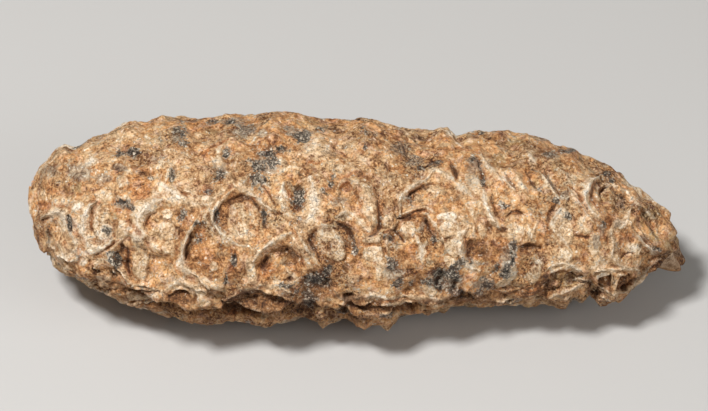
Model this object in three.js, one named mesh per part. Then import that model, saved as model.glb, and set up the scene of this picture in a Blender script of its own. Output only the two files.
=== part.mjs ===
// A petrified pine cone lying on its side. It is one stone: the woody scales turned to chalcedony
// and grew together, so what is left of each is a raised rim, the hollow inside it and a boss.
// Millimetres, +Z up. X runs along the cone, from the broad rounded end (-X) to the narrow broken
// end (+X). The origin is on the ground, under the middle of the cone's box.
//
// A place on the skin is (along, turn): millimetres from the broad end, and degrees round the
// section, with 0 facing the front (-Y), 90 on top, 180 at the back and -90 on the ground.
import * as THREE from "three";
import { ConvexHull } from "three/addons/math/ConvexHull.js";

// ---- Driving dimensions -------------------------------------------------------------------

const SKIN_START = 0.7; // where the skin under the relief closes at the broad end
const SKIN_END = 78.2; // and at the narrow end
const BROAD_ROUNDING = 15; // length of the rounded broad end
const NARROW_ROUNDING = 4; // length of the blunt narrow end
const FLATNESS = 0.88; // a section's height over its width
const GROUND_DEPTH = 10.9; // how far below the axis the ground lies

// The cone's run: [along, sideways place of the axis, its rise, half width without the rounding].
const STATIONS = [
  [0, 1.2, 1.5, 12.6],
  [6, 0.4, 0.3, 11.5],
  [11, 0.3, 0.2, 11.6],
  [18, 0.1, 0.0, 12.8],
  [28, -0.2, -0.1, 13.2],
  [34, -0.2, 0.0, 12.9],
  [42, -0.3, 0.1, 12.4],
  [50, -0.5, -0.4, 11.3],
  [60, 0.0, -0.3, 10.8],
  [68, -0.8, -0.9, 9.5],
  [72, -1.2, -1.5, 7.8],
  [76, -1.3, -1.6, 4.9],
  [80, -1.4, -1.8, 4.0],
];

const RIM_WIDTH = 0.6; // from a rim's crest to where it has mostly fallen away
const RIM_FOOT = 1.1; // from a rim's crest to the floor of the hollow inside it
const LEVEL_BLEND = 0.5; // how softly one scale's level passes into the next
const BACK_SPACING = 6.6; // distance between scales where they stand in plain rows
const ROW_STEP = 5.2; // distance along the cone between those rows
const CLEARANCE = 4.9; // a scale of the rows is left out when another is nearer than this

// What is left of a scale. Heights are from the skin: the crest of its rim, the floor of the
// hollow inside the rim, and the top of the boss in the middle, with the boss's radius.
const SCALE_KINDS = {
  lozenge: { rim: 0.7, floor: -0.8, boss: 0.3, bossRadius: 1.8 },
  cup: { rim: 0.6, floor: -0.9, boss: -0.3, bossRadius: 1.7 },
  crescent: { rim: 0.8, floor: -0.6, boss: 0.3, bossRadius: 1.6 },
  hollow: { rim: 0.5, floor: -1.5, boss: -1.2, bossRadius: 1.3 },
  cave: { rim: 0.2, floor: -1.5, boss: -1.4, bossRadius: 1.0 },
  knob: { rim: 0.2, floor: -0.6, boss: 0.6, bossRadius: 1.9 },
  plate: { rim: 0.3, floor: -0.1, boss: 0.2, bossRadius: 2.4 },
  worn: { rim: 0.4, floor: -0.4, boss: 0.1, bossRadius: 1.7 },
};

// The scales of the front and the top, each where it stands: [kind, along, turn].
const FRONT_SCALES = [
  ["knob", 4, 24], ["worn", 2, 66], ["hollow", 5, 71], ["knob", 7, 7], ["lozenge", 8.8, 39],
  ["worn", 8.3, 89], ["worn", 5.2, 110], ["worn", 9.5, 104], ["hollow", 9.5, 3], ["hollow", 14, 19],
  ["knob", 11.3, 66], ["hollow", 14.8, 70], ["worn", 12.7, 121], ["worn", 16.8, 107],
  ["crescent", 16.6, 43], ["cup", 17.7, -7], ["lozenge", 22, 28], ["cup", 21.7, -8],
  ["crescent", 20.6, 77], ["worn", 21.7, 115], ["lozenge", 26.1, 49], ["cup", 26, 86],
  ["worn", 28.7, 107], ["hollow", 30.7, 23], ["cup", 27.8, -8], ["worn", 31.5, -13],
  ["hollow", 31, 80], ["cup", 33, 60], ["worn", 35.7, 93], ["lozenge", 37, 35],
  ["crescent", 39, 63], ["hollow", 38.8, 0], ["worn", 41.2, 92], ["plate", 44.5, 70],
  ["worn", 43.7, -3], ["worn", 47.3, 107], ["knob", 46.6, 40], ["lozenge", 49.8, 64],
  ["plate", 51.8, 37], ["hollow", 50, 3], ["hollow", 54.5, 30], ["hollow", 57.3, 46],
  ["worn", 55.2, -6], ["crescent", 56.5, 68], ["hollow", 57.3, 101], ["worn", 58.5, 3],
  ["cup", 61, 28], ["crescent", 61.3, 56], ["crescent", 62.5, 82], ["worn", 63.2, 106],
  ["cave", 59.1, -27], ["cave", 62.6, -27], ["cave", 65, 1], ["cave", 66.2, -17],
  ["worn", 66.2, 30], ["plate", 67.6, 54], ["cave", 69.2, -10], ["cup", 70.8, 80],
  ["worn", 67, 96], ["worn", 70.4, 32], ["cave", 71, 8], ["cave", 72.8, -8],
  ["cup", 74, 27], ["hollow", 75.9, 64], ["hollow", 76.6, 100],
];

// Ridges and cracks that cross the scales: rise (negative for a crack), half width, and the places
// that its line joins. A push moves the skin bodily, as where a broken scale juts out of the end.
const STROKES = [
  { name: "beak edge", rise: 1.0, width: 0.8,
    line: [[73.6, 78], [75, 50], [76.8, 25], [77.4, 5], [76.2, -15], [74.4, -40]] },
  { name: "beak notch", rise: -1.0, width: 0.8, line: [[77.9, 20], [77.7, -20], [77, -55]] },
  { name: "flange", push: [1.1, 0, -0.3], width: 1.2, line: [[76.8, 125], [77.2, 175], [77, -140]] },
  { name: "spur", push: [4.2, 0.5, -3.4], width: 1.5, line: [[76.4, -115], [76.2, -90]] },
  { name: "front ledge", rise: 0.7, width: 0.9, line: [[13, -2], [22, -6], [30, -4], [40, -9], [52, -4]] },
  { name: "under ledge", rise: -1.1, width: 1.1, line: [[14, -12], [24, -16], [34, -14], [44, -19], [53, -14]] },
];

// Soft lumps over the whole stone: height, and how fast it swings along X, Y and Z.
const LUMPS = [
  { height: 0.32, swing: [0.55, 0.35, 0.45], phase: 0.4 },
  { height: 0.22, swing: [1.15, -0.8, 0.9], phase: 2.1 },
  { height: 0.16, swing: [-1.7, 1.5, 1.9], phase: 4.0 },
];

// How the mesh's points are shared out over a scale: rings inside its rim, as [share of the way
// from the middle to the crest, distance between points].
const SCALE_RINGS = [[0.3, 1.3], [0.58, 1.35], [0.8, 1.4]];
const RIM_RAYS = 48; // directions tried from a scale's middle to find its rim
const RIM_STEP = 1.05; // distance between points along a rim's crest
const POINT_GAP = 0.5; // a point nearer than this to another is left out
const STROKE_STEP = 1.2; // distance between points along a ridge or crack

const STONE_COLOUR = 0xb48f69;

// ---- The skin under the relief ------------------------------------------------------------

const radians = THREE.MathUtils.degToRad;

// A smooth run through the stations' values in one column.
function stationValue(along, column) {
  const last = STATIONS.length - 2;
  let index = 0;
  while (index < last && along > STATIONS[index + 1][0]) index += 1;
  const slopeAt = (i) => {
    const before = STATIONS[Math.max(i - 1, 0)];
    const after = STATIONS[Math.min(i + 1, STATIONS.length - 1)];
    return (after[column] - before[column]) / (after[0] - before[0]);
  };
  const [from, to] = [STATIONS[index], STATIONS[index + 1]];
  const span = to[0] - from[0];
  const t = THREE.MathUtils.clamp((along - from[0]) / span, 0, 1);
  const rise = t * t * (3 - 2 * t);
  const leave = t * (1 - t) * (1 - t) * span * slopeAt(index);
  const arrive = t * t * (t - 1) * span * slopeAt(index + 1);
  return from[column] * (1 - rise) + to[column] * rise + leave + arrive;
}

// The share of the full girth that the rounded ends leave.
function endRounding(along) {
  const fromBroad = THREE.MathUtils.clamp((along - SKIN_START) / BROAD_ROUNDING, 0, 1);
  const fromNarrow = THREE.MathUtils.clamp((SKIN_END - along) / NARROW_ROUNDING, 0, 1);
  return Math.sqrt((1 - (1 - fromBroad) ** 2) * (1 - (1 - fromNarrow) ** 2));
}

function skinPoint(along, turn) {
  const halfWidth = stationValue(along, 3) * endRounding(along);
  return new THREE.Vector3(
    along,
    stationValue(along, 1) - halfWidth * Math.cos(radians(turn)),
    stationValue(along, 2) + halfWidth * FLATNESS * Math.sin(radians(turn)),
  );
}

// The outward direction, square to the skin.
function skinOutward(along, turn) {
  const step = 0.05;
  const inside = THREE.MathUtils.clamp(along, SKIN_START + 2 * step, SKIN_END - 2 * step);
  const alongSkin = skinPoint(inside + step, turn).sub(skinPoint(inside - step, turn));
  const roundSkin = skinPoint(inside, turn + 1).sub(skinPoint(inside, turn - 1));
  return alongSkin.cross(roundSkin).normalize();
}

// ---- The scales ---------------------------------------------------------------------------

function makeScale(kind, along, turn) {
  return { ...SCALE_KINDS[kind], along, turn, centre: skinPoint(along, turn) };
}

// The hand-placed scales, then rows of staggered ones wherever there is room for them.
function placeScales() {
  const scales = FRONT_SCALES.map(([kind, along, turn]) => makeScale(kind, along, turn));
  const rowKinds = ["cup", "worn", "lozenge", "hollow", "worn", "crescent", "knob"];
  const rows = Math.floor((SKIN_END - SKIN_START) / ROW_STEP);
  for (let row = 0; row <= rows; row += 1) {
    const along = SKIN_START + 0.3 + row * ROW_STEP;
    const girth = 2 * Math.PI * stationValue(along, 3) * endRounding(along);
    const count = Math.max(1, Math.round(girth / BACK_SPACING));
    for (let place = 0; place < count; place += 1) {
      const turn = 140 + ((place + (row % 2) / 2) * 360) / count + 9 * Math.sin(row * 2.3 + place * 4.1);
      const shift = 0.8 * Math.sin(row * 5.1 + place * 2.7);
      const kind = rowKinds[(row * 3 + place * 5) % rowKinds.length];
      const scale = makeScale(kind, THREE.MathUtils.clamp(along + shift, SKIN_START, SKIN_END), turn);
      const clear = scales.every((other) => other.centre.distanceTo(scale.centre) > CLEARANCE);
      if (clear) scales.push(scale);
    }
  }
  return scales;
}

// The nearest scale to a point of the skin, and how far the point is from that scale's border.
function nearestScale(scales, point) {
  const distances = scales.map((scale) => scale.centre.distanceTo(point));
  const nearest = distances.indexOf(Math.min(...distances));
  let border = Infinity;
  scales.forEach((scale, index) => {
    if (index === nearest) return;
    const apart = scale.centre.distanceTo(scales[nearest].centre);
    border = Math.min(border, (distances[index] ** 2 - distances[nearest] ** 2) / (2 * apart));
  });
  return { nearest, distances, border };
}

// ---- The relief ---------------------------------------------------------------------------

const smooth = THREE.MathUtils.smoothstep;

function scaleRelief(scales, point) {
  const { nearest, distances, border } = nearestScale(scales, point);
  let [weights, rim, floor] = [0, 0, 0];
  scales.forEach((scale, index) => {
    const weight = Math.exp((distances[nearest] - distances[index]) / LEVEL_BLEND);
    weights += weight;
    rim += weight * scale.rim;
    floor += weight * scale.floor;
  });
  const { boss, bossRadius } = scales[nearest];
  const crest = (rim / weights) * Math.exp(-((border / RIM_WIDTH) ** 2));
  const bed = (floor / weights) * smooth(border, 0, RIM_FOOT);
  const dome = Math.sqrt(Math.max(0, 1 - (distances[nearest] / bossRadius) ** 2));
  return crest + bed * (1 - dome) + boss * dome;
}

// A stroke's line as points of the skin, close enough together to follow it.
function strokePlaces(stroke) {
  const places = [];
  for (let index = 1; index < stroke.line.length; index += 1) {
    const [[alongA, turnA], [alongB, turnB]] = [stroke.line[index - 1], stroke.line[index]];
    const turnTo = turnA + ((((turnB - turnA + 180) % 360) + 360) % 360) - 180;
    const reach = skinPoint(alongA, turnA).distanceTo(skinPoint(alongB, turnTo));
    const steps = Math.max(1, Math.round(reach / STROKE_STEP));
    for (let step = 0; step < steps; step += 1) {
      const share = step / steps;
      places.push([alongA + (alongB - alongA) * share, turnA + (turnTo - turnA) * share]);
    }
  }
  places.push(stroke.line[stroke.line.length - 1]);
  return places;
}

// How far the ridges, cracks and pushed edges move a point of the skin.
function strokeShift(strokes, point, outward) {
  const shift = new THREE.Vector3();
  const onLine = new THREE.Vector3();
  for (const { rise = 0, push = [0, 0, 0], width, pieces } of strokes) {
    let closest = Infinity;
    for (const piece of pieces) {
      piece.closestPointToPoint(point, true, onLine);
      closest = Math.min(closest, onLine.distanceTo(point));
    }
    const share = Math.exp(-((closest / width) ** 2));
    shift.addScaledVector(outward, rise * share);
    shift.addScaledVector(new THREE.Vector3(...push), share);
  }
  return shift;
}

function lumpRelief(point) {
  let relief = 0;
  for (const { height, swing, phase } of LUMPS) {
    const [x, y, z] = [point.x * swing[0], point.y * swing[1], point.z * swing[2]];
    relief += height * Math.sin(x + phase + Math.sin(y * 1.3)) * Math.cos(y - z + phase);
  }
  return relief;
}

// ---- The mesh -----------------------------------------------------------------------------

// The places for the mesh's points: along every ridge and crack, along the crests of the rims,
// then rings inside each rim and the middle of the scale.
function meshPlaces(scales, strokes) {
  const places = [];
  const points = [];
  const add = ([along, turn]) => {
    const point = skinPoint(along, turn);
    if (points.every((other) => other.distanceTo(point) > POINT_GAP)) {
      points.push(point);
      places.push([along, turn]);
    }
  };
  add([SKIN_START, 0]);
  add([SKIN_END, 0]);
  strokes.forEach((stroke) => stroke.places.forEach(add));
  const rims = scales.map((scale, index) => rimPlaces(scales, index));
  rims.forEach((rim) => rim.corners.forEach(add));
  rims.forEach((rim) => rim.crest.forEach(add));
  scales.forEach((scale, index) => {
    add([scale.along, scale.turn]);
    for (const [share, spacing] of SCALE_RINGS) {
      const count = Math.max(3, Math.round((2 * Math.PI * share * rims[index].reach) / spacing));
      for (let ray = 0; ray < count; ray += 1) {
        add(placeToward(scales, index, ((ray + share) * 360) / count, share));
      }
    }
  });
  return places;
}

// The crest of a scale's rim: its corners, where three scales meet, evenly spaced points between
// them, and how far the rim is from the middle on average.
function rimPlaces(scales, index) {
  const rays = [];
  for (let ray = 0; ray < RIM_RAYS; ray += 1) {
    const place = placeToward(scales, index, (ray * 360) / RIM_RAYS, 1);
    const point = skinPoint(...place);
    rays.push({ place, point, beyond: neighbourAt(scales, index, point) });
  }
  const corners = [];
  const crest = [];
  let walked = 0;
  let reach = 0;
  rays.forEach((ray, number) => {
    const before = rays[(number + RIM_RAYS - 1) % RIM_RAYS];
    walked += ray.point.distanceTo(before.point);
    reach += ray.point.distanceTo(scales[index].centre) / RIM_RAYS;
    if (ray.beyond !== before.beyond) corners.push(ray.place);
    if (ray.beyond > index && walked >= RIM_STEP) {
      crest.push(ray.place);
      walked = 0;
    }
  });
  return { corners, crest, reach };
}

// The scale on the other side of a rim.
function neighbourAt(scales, index, point) {
  let [neighbour, closest] = [-1, Infinity];
  scales.forEach((scale, other) => {
    const distance = scale.centre.distanceTo(point);
    if (other !== index && distance < closest) [neighbour, closest] = [other, distance];
  });
  return neighbour;
}

// The place that is a share of the way from a scale's middle to its border, in one direction.
function placeToward(scales, index, direction, share) {
  const { along, turn } = scales[index];
  const girth = Math.max(stationValue(along, 3) * endRounding(along), 2);
  const placeAt = (reach) => {
    const wanted = along + reach * Math.cos(radians(direction));
    const inside = THREE.MathUtils.clamp(wanted, SKIN_START + 0.05, SKIN_END - 0.05);
    return [inside, turn + THREE.MathUtils.radToDeg((reach * Math.sin(radians(direction))) / girth)];
  };
  let [near, far] = [0, 7];
  for (let halving = 0; halving < 8; halving += 1) {
    const middle = (near + far) / 2;
    const [tryAlong, tryTurn] = placeAt(middle);
    if (nearestScale(scales, skinPoint(tryAlong, tryTurn)).nearest === index) near = middle;
    else far = middle;
  }
  return placeAt(near * share);
}

// A map of the skin onto a ball that keeps its small shapes, so that the ball's hull joins
// neighbouring points into well-shaped triangles.
function ballMap() {
  const steps = 4000;
  const stretch = [0];
  for (let index = 1; index <= steps; index += 1) {
    const along = SKIN_START + ((index - 0.5) / steps) * (SKIN_END - SKIN_START);
    const girth = stationValue(along, 3) * endRounding(along);
    const width = (SKIN_END - SKIN_START) / steps;
    const before = skinPoint(along - width / 2, 90);
    const after = skinPoint(along + width / 2, 90);
    stretch.push(stretch[index - 1] + before.distanceTo(after) / girth);
  }
  const middle = stretch[steps / 2];
  return ([along, turn]) => {
    const index = Math.round(((along - SKIN_START) / (SKIN_END - SKIN_START)) * steps);
    const rise = Math.tanh(stretch[index] - middle);
    const ring = Math.sqrt(Math.max(0, 1 - rise * rise));
    return new THREE.Vector3(rise, -ring * Math.cos(radians(turn)), ring * Math.sin(radians(turn)));
  };
}

function buildGeometry() {
  const scales = placeScales();
  const strokes = STROKES.map((stroke) => ({ ...stroke, places: strokePlaces(stroke) }));
  for (const stroke of strokes) {
    const points = stroke.places.map(([along, turn]) => skinPoint(along, turn));
    stroke.pieces = points.slice(1).map((point, index) => new THREE.Line3(points[index], point));
  }
  const places = meshPlaces(scales, strokes);
  const toBall = ballMap();
  const ballPoints = places.map(toBall);
  const indexOf = new Map(ballPoints.map((point, index) => [point, index]));

  const stonePoints = places.map(([along, turn]) => {
    const skin = skinPoint(along, turn);
    const outward = skinOutward(along, turn);
    const relief = scaleRelief(scales, skin) + lumpRelief(skin);
    const shift = strokeShift(strokes, skin, outward);
    return shift.addScaledVector(outward, relief).add(skin);
  });
  const triangles = [];
  for (const face of new ConvexHull().setFromPoints(ballPoints).faces) {
    let edge = face.edge;
    do {
      triangles.push(indexOf.get(edge.head().point));
      edge = edge.next;
    } while (edge !== face.edge);
  }
  const positions = stonePoints.flatMap(({ x, y, z }) => [x, y, Math.max(z, -GROUND_DEPTH)]);
  const geometry = new THREE.BufferGeometry();
  geometry.setAttribute("position", new THREE.Float32BufferAttribute(positions, 3));
  geometry.setIndex(triangles);
  return geometry;
}

const geometry = buildGeometry();
geometry.computeBoundingBox();
const box = geometry.boundingBox;
geometry.translate(-(box.min.x + box.max.x) / 2, -(box.min.y + box.max.y) / 2, -box.min.z);

const cone = new THREE.Mesh(
  geometry,
  new THREE.MeshStandardMaterial({ color: STONE_COLOUR, roughness: 0.8, metalness: 0 }),
);
cone.name = "fossil_pine_cone";

const group = new THREE.Group();
group.add(cone);
export default group;
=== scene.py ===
import math

import bpy
import numpy as np
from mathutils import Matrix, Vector
from mathutils.kdtree import KDTree


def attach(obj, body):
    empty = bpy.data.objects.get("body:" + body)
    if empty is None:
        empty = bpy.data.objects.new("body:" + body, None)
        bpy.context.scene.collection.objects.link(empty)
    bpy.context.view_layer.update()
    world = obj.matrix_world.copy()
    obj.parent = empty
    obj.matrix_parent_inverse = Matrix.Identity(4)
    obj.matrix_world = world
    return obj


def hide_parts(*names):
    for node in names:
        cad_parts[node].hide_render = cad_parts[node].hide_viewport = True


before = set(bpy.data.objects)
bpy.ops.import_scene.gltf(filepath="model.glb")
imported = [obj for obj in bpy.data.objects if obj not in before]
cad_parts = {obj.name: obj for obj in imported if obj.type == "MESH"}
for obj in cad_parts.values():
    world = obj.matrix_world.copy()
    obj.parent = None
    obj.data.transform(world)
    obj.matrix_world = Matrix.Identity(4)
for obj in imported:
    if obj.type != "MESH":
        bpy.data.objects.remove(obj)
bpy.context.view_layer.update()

NODE = "fossil_pine_cone"
MM = 0.001

# ---- The cone's shape, as in the solid ------------------------------------------------------

SKIN_START, SKIN_END = 0.7, 78.2
BROAD_ROUNDING, NARROW_ROUNDING = 15.0, 4.0
FLATNESS = 0.88
GROUND_DEPTH = 10.9
ORIGIN = np.array([39.995, -0.433, -GROUND_DEPTH])  # the row frame's origin, from the broad end

# [along, sideways place of the axis, its rise, half width without the rounding]
STATIONS = np.array([
    [0, 1.2, 1.5, 12.6], [6, 0.4, 0.3, 11.5], [11, 0.3, 0.2, 11.6], [18, 0.1, 0.0, 12.8],
    [28, -0.2, -0.1, 13.2], [34, -0.2, 0.0, 12.9], [42, -0.3, 0.1, 12.4], [50, -0.5, -0.4, 11.3],
    [60, 0.0, -0.3, 10.8], [68, -0.8, -0.9, 9.5], [72, -1.2, -1.5, 7.8], [76, -1.3, -1.6, 4.9],
    [80, -1.4, -1.8, 4.0],
])

RIM_WIDTH, RIM_FOOT, LEVEL_BLEND = 0.6, 1.1, 0.5
BACK_SPACING, ROW_STEP, CLEARANCE = 6.6, 5.2, 4.9

# kind: (rim's crest, floor of the hollow, top of the boss, the boss's radius)
SCALE_KINDS = {
    "lozenge": (0.7, -0.8, 0.3, 1.8), "cup": (0.6, -0.9, -0.3, 1.7),
    "crescent": (0.8, -0.6, 0.3, 1.6), "hollow": (0.5, -1.5, -1.2, 1.3),
    "cave": (0.2, -1.5, -1.4, 1.0), "knob": (0.2, -0.6, 0.6, 1.9),
    "plate": (0.3, -0.1, 0.2, 2.4), "worn": (0.4, -0.4, 0.1, 1.7),
}
FRONT_SCALES = [
    ("knob", 4, 24), ("worn", 2, 66), ("hollow", 5, 71), ("knob", 7, 7), ("lozenge", 8.8, 39),
    ("worn", 8.3, 89), ("worn", 5.2, 110), ("worn", 9.5, 104), ("hollow", 9.5, 3), ("hollow", 14, 19),
    ("knob", 11.3, 66), ("hollow", 14.8, 70), ("worn", 12.7, 121), ("worn", 16.8, 107),
    ("crescent", 16.6, 43), ("cup", 17.7, -7), ("lozenge", 22, 28), ("cup", 21.7, -8),
    ("crescent", 20.6, 77), ("worn", 21.7, 115), ("lozenge", 26.1, 49), ("cup", 26, 86),
    ("worn", 28.7, 107), ("hollow", 30.7, 23), ("cup", 27.8, -8), ("worn", 31.5, -13),
    ("hollow", 31, 80), ("cup", 33, 60), ("worn", 35.7, 93), ("lozenge", 37, 35),
    ("crescent", 39, 63), ("hollow", 38.8, 0), ("worn", 41.2, 92), ("plate", 44.5, 70),
    ("worn", 43.7, -3), ("worn", 47.3, 107), ("knob", 46.6, 40), ("lozenge", 49.8, 64),
    ("plate", 51.8, 37), ("hollow", 50, 3), ("hollow", 54.5, 30), ("hollow", 57.3, 46),
    ("worn", 55.2, -6), ("crescent", 56.5, 68), ("hollow", 57.3, 101), ("worn", 58.5, 3),
    ("cup", 61, 28), ("crescent", 61.3, 56), ("crescent", 62.5, 82), ("worn", 63.2, 106),
    ("cave", 59.1, -27), ("cave", 62.6, -27), ("cave", 65, 1), ("cave", 66.2, -17),
    ("worn", 66.2, 30), ("plate", 67.6, 54), ("cave", 69.2, -10), ("cup", 70.8, 80),
    ("worn", 67, 96), ("worn", 70.4, 32), ("cave", 71, 8), ("cave", 72.8, -8),
    ("cup", 74, 27), ("hollow", 75.9, 64), ("hollow", 76.6, 100),
]
ROW_KINDS = ["cup", "worn", "lozenge", "hollow", "worn", "crescent", "knob"]

# name: (rise, push, half width, the places that the line joins)
STROKES = {
    "beak edge": (1.0, (0, 0, 0), 0.8, [(73.6, 78), (75, 50), (76.8, 25), (77.4, 5), (76.2, -15),
                                        (74.4, -40)]),
    "beak notch": (-1.0, (0, 0, 0), 0.8, [(77.9, 20), (77.7, -20), (77, -55)]),
    "flange": (0, (1.1, 0, -0.3), 1.2, [(76.8, 125), (77.2, 175), (77, -140)]),
    "flange top": (0, (0.5, 0.2, 0.35), 1.5, [(76.2, 85), (76.8, 115), (77.2, 150)]),
    "flange side": (0, (1.5, 0, -0.1), 2.0, [(77.9, 60), (78.1, 0), (77.9, -60)]),
    "spur": (0, (4.2, 0.5, -3.4), 1.5, [(76.4, -115), (76.2, -90)]),
    "front ledge": (0.7, (0, 0, 0), 0.9, [(13, -2), (22, -6), (30, -4), (40, -9), (52, -4)]),
    "under ledge": (-1.1, (0, 0, 0), 1.1, [(14, -12), (24, -16), (34, -14), (44, -19), (53, -14)]),
}
# (height, how fast it swings in x, y and z, where it starts)
LUMPS = [(0.32, (0.55, 0.35, 0.45), 0.4), (0.22, (1.15, -0.8, 0.9), 2.1), (0.16, (-1.7, 1.5, 1.9), 4.0)]

# ---- What the photograph shows on the near side ----------------------------------------------
#
# Rises, depths and widths are in millimetres; places are the photograph's pixels.

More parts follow.
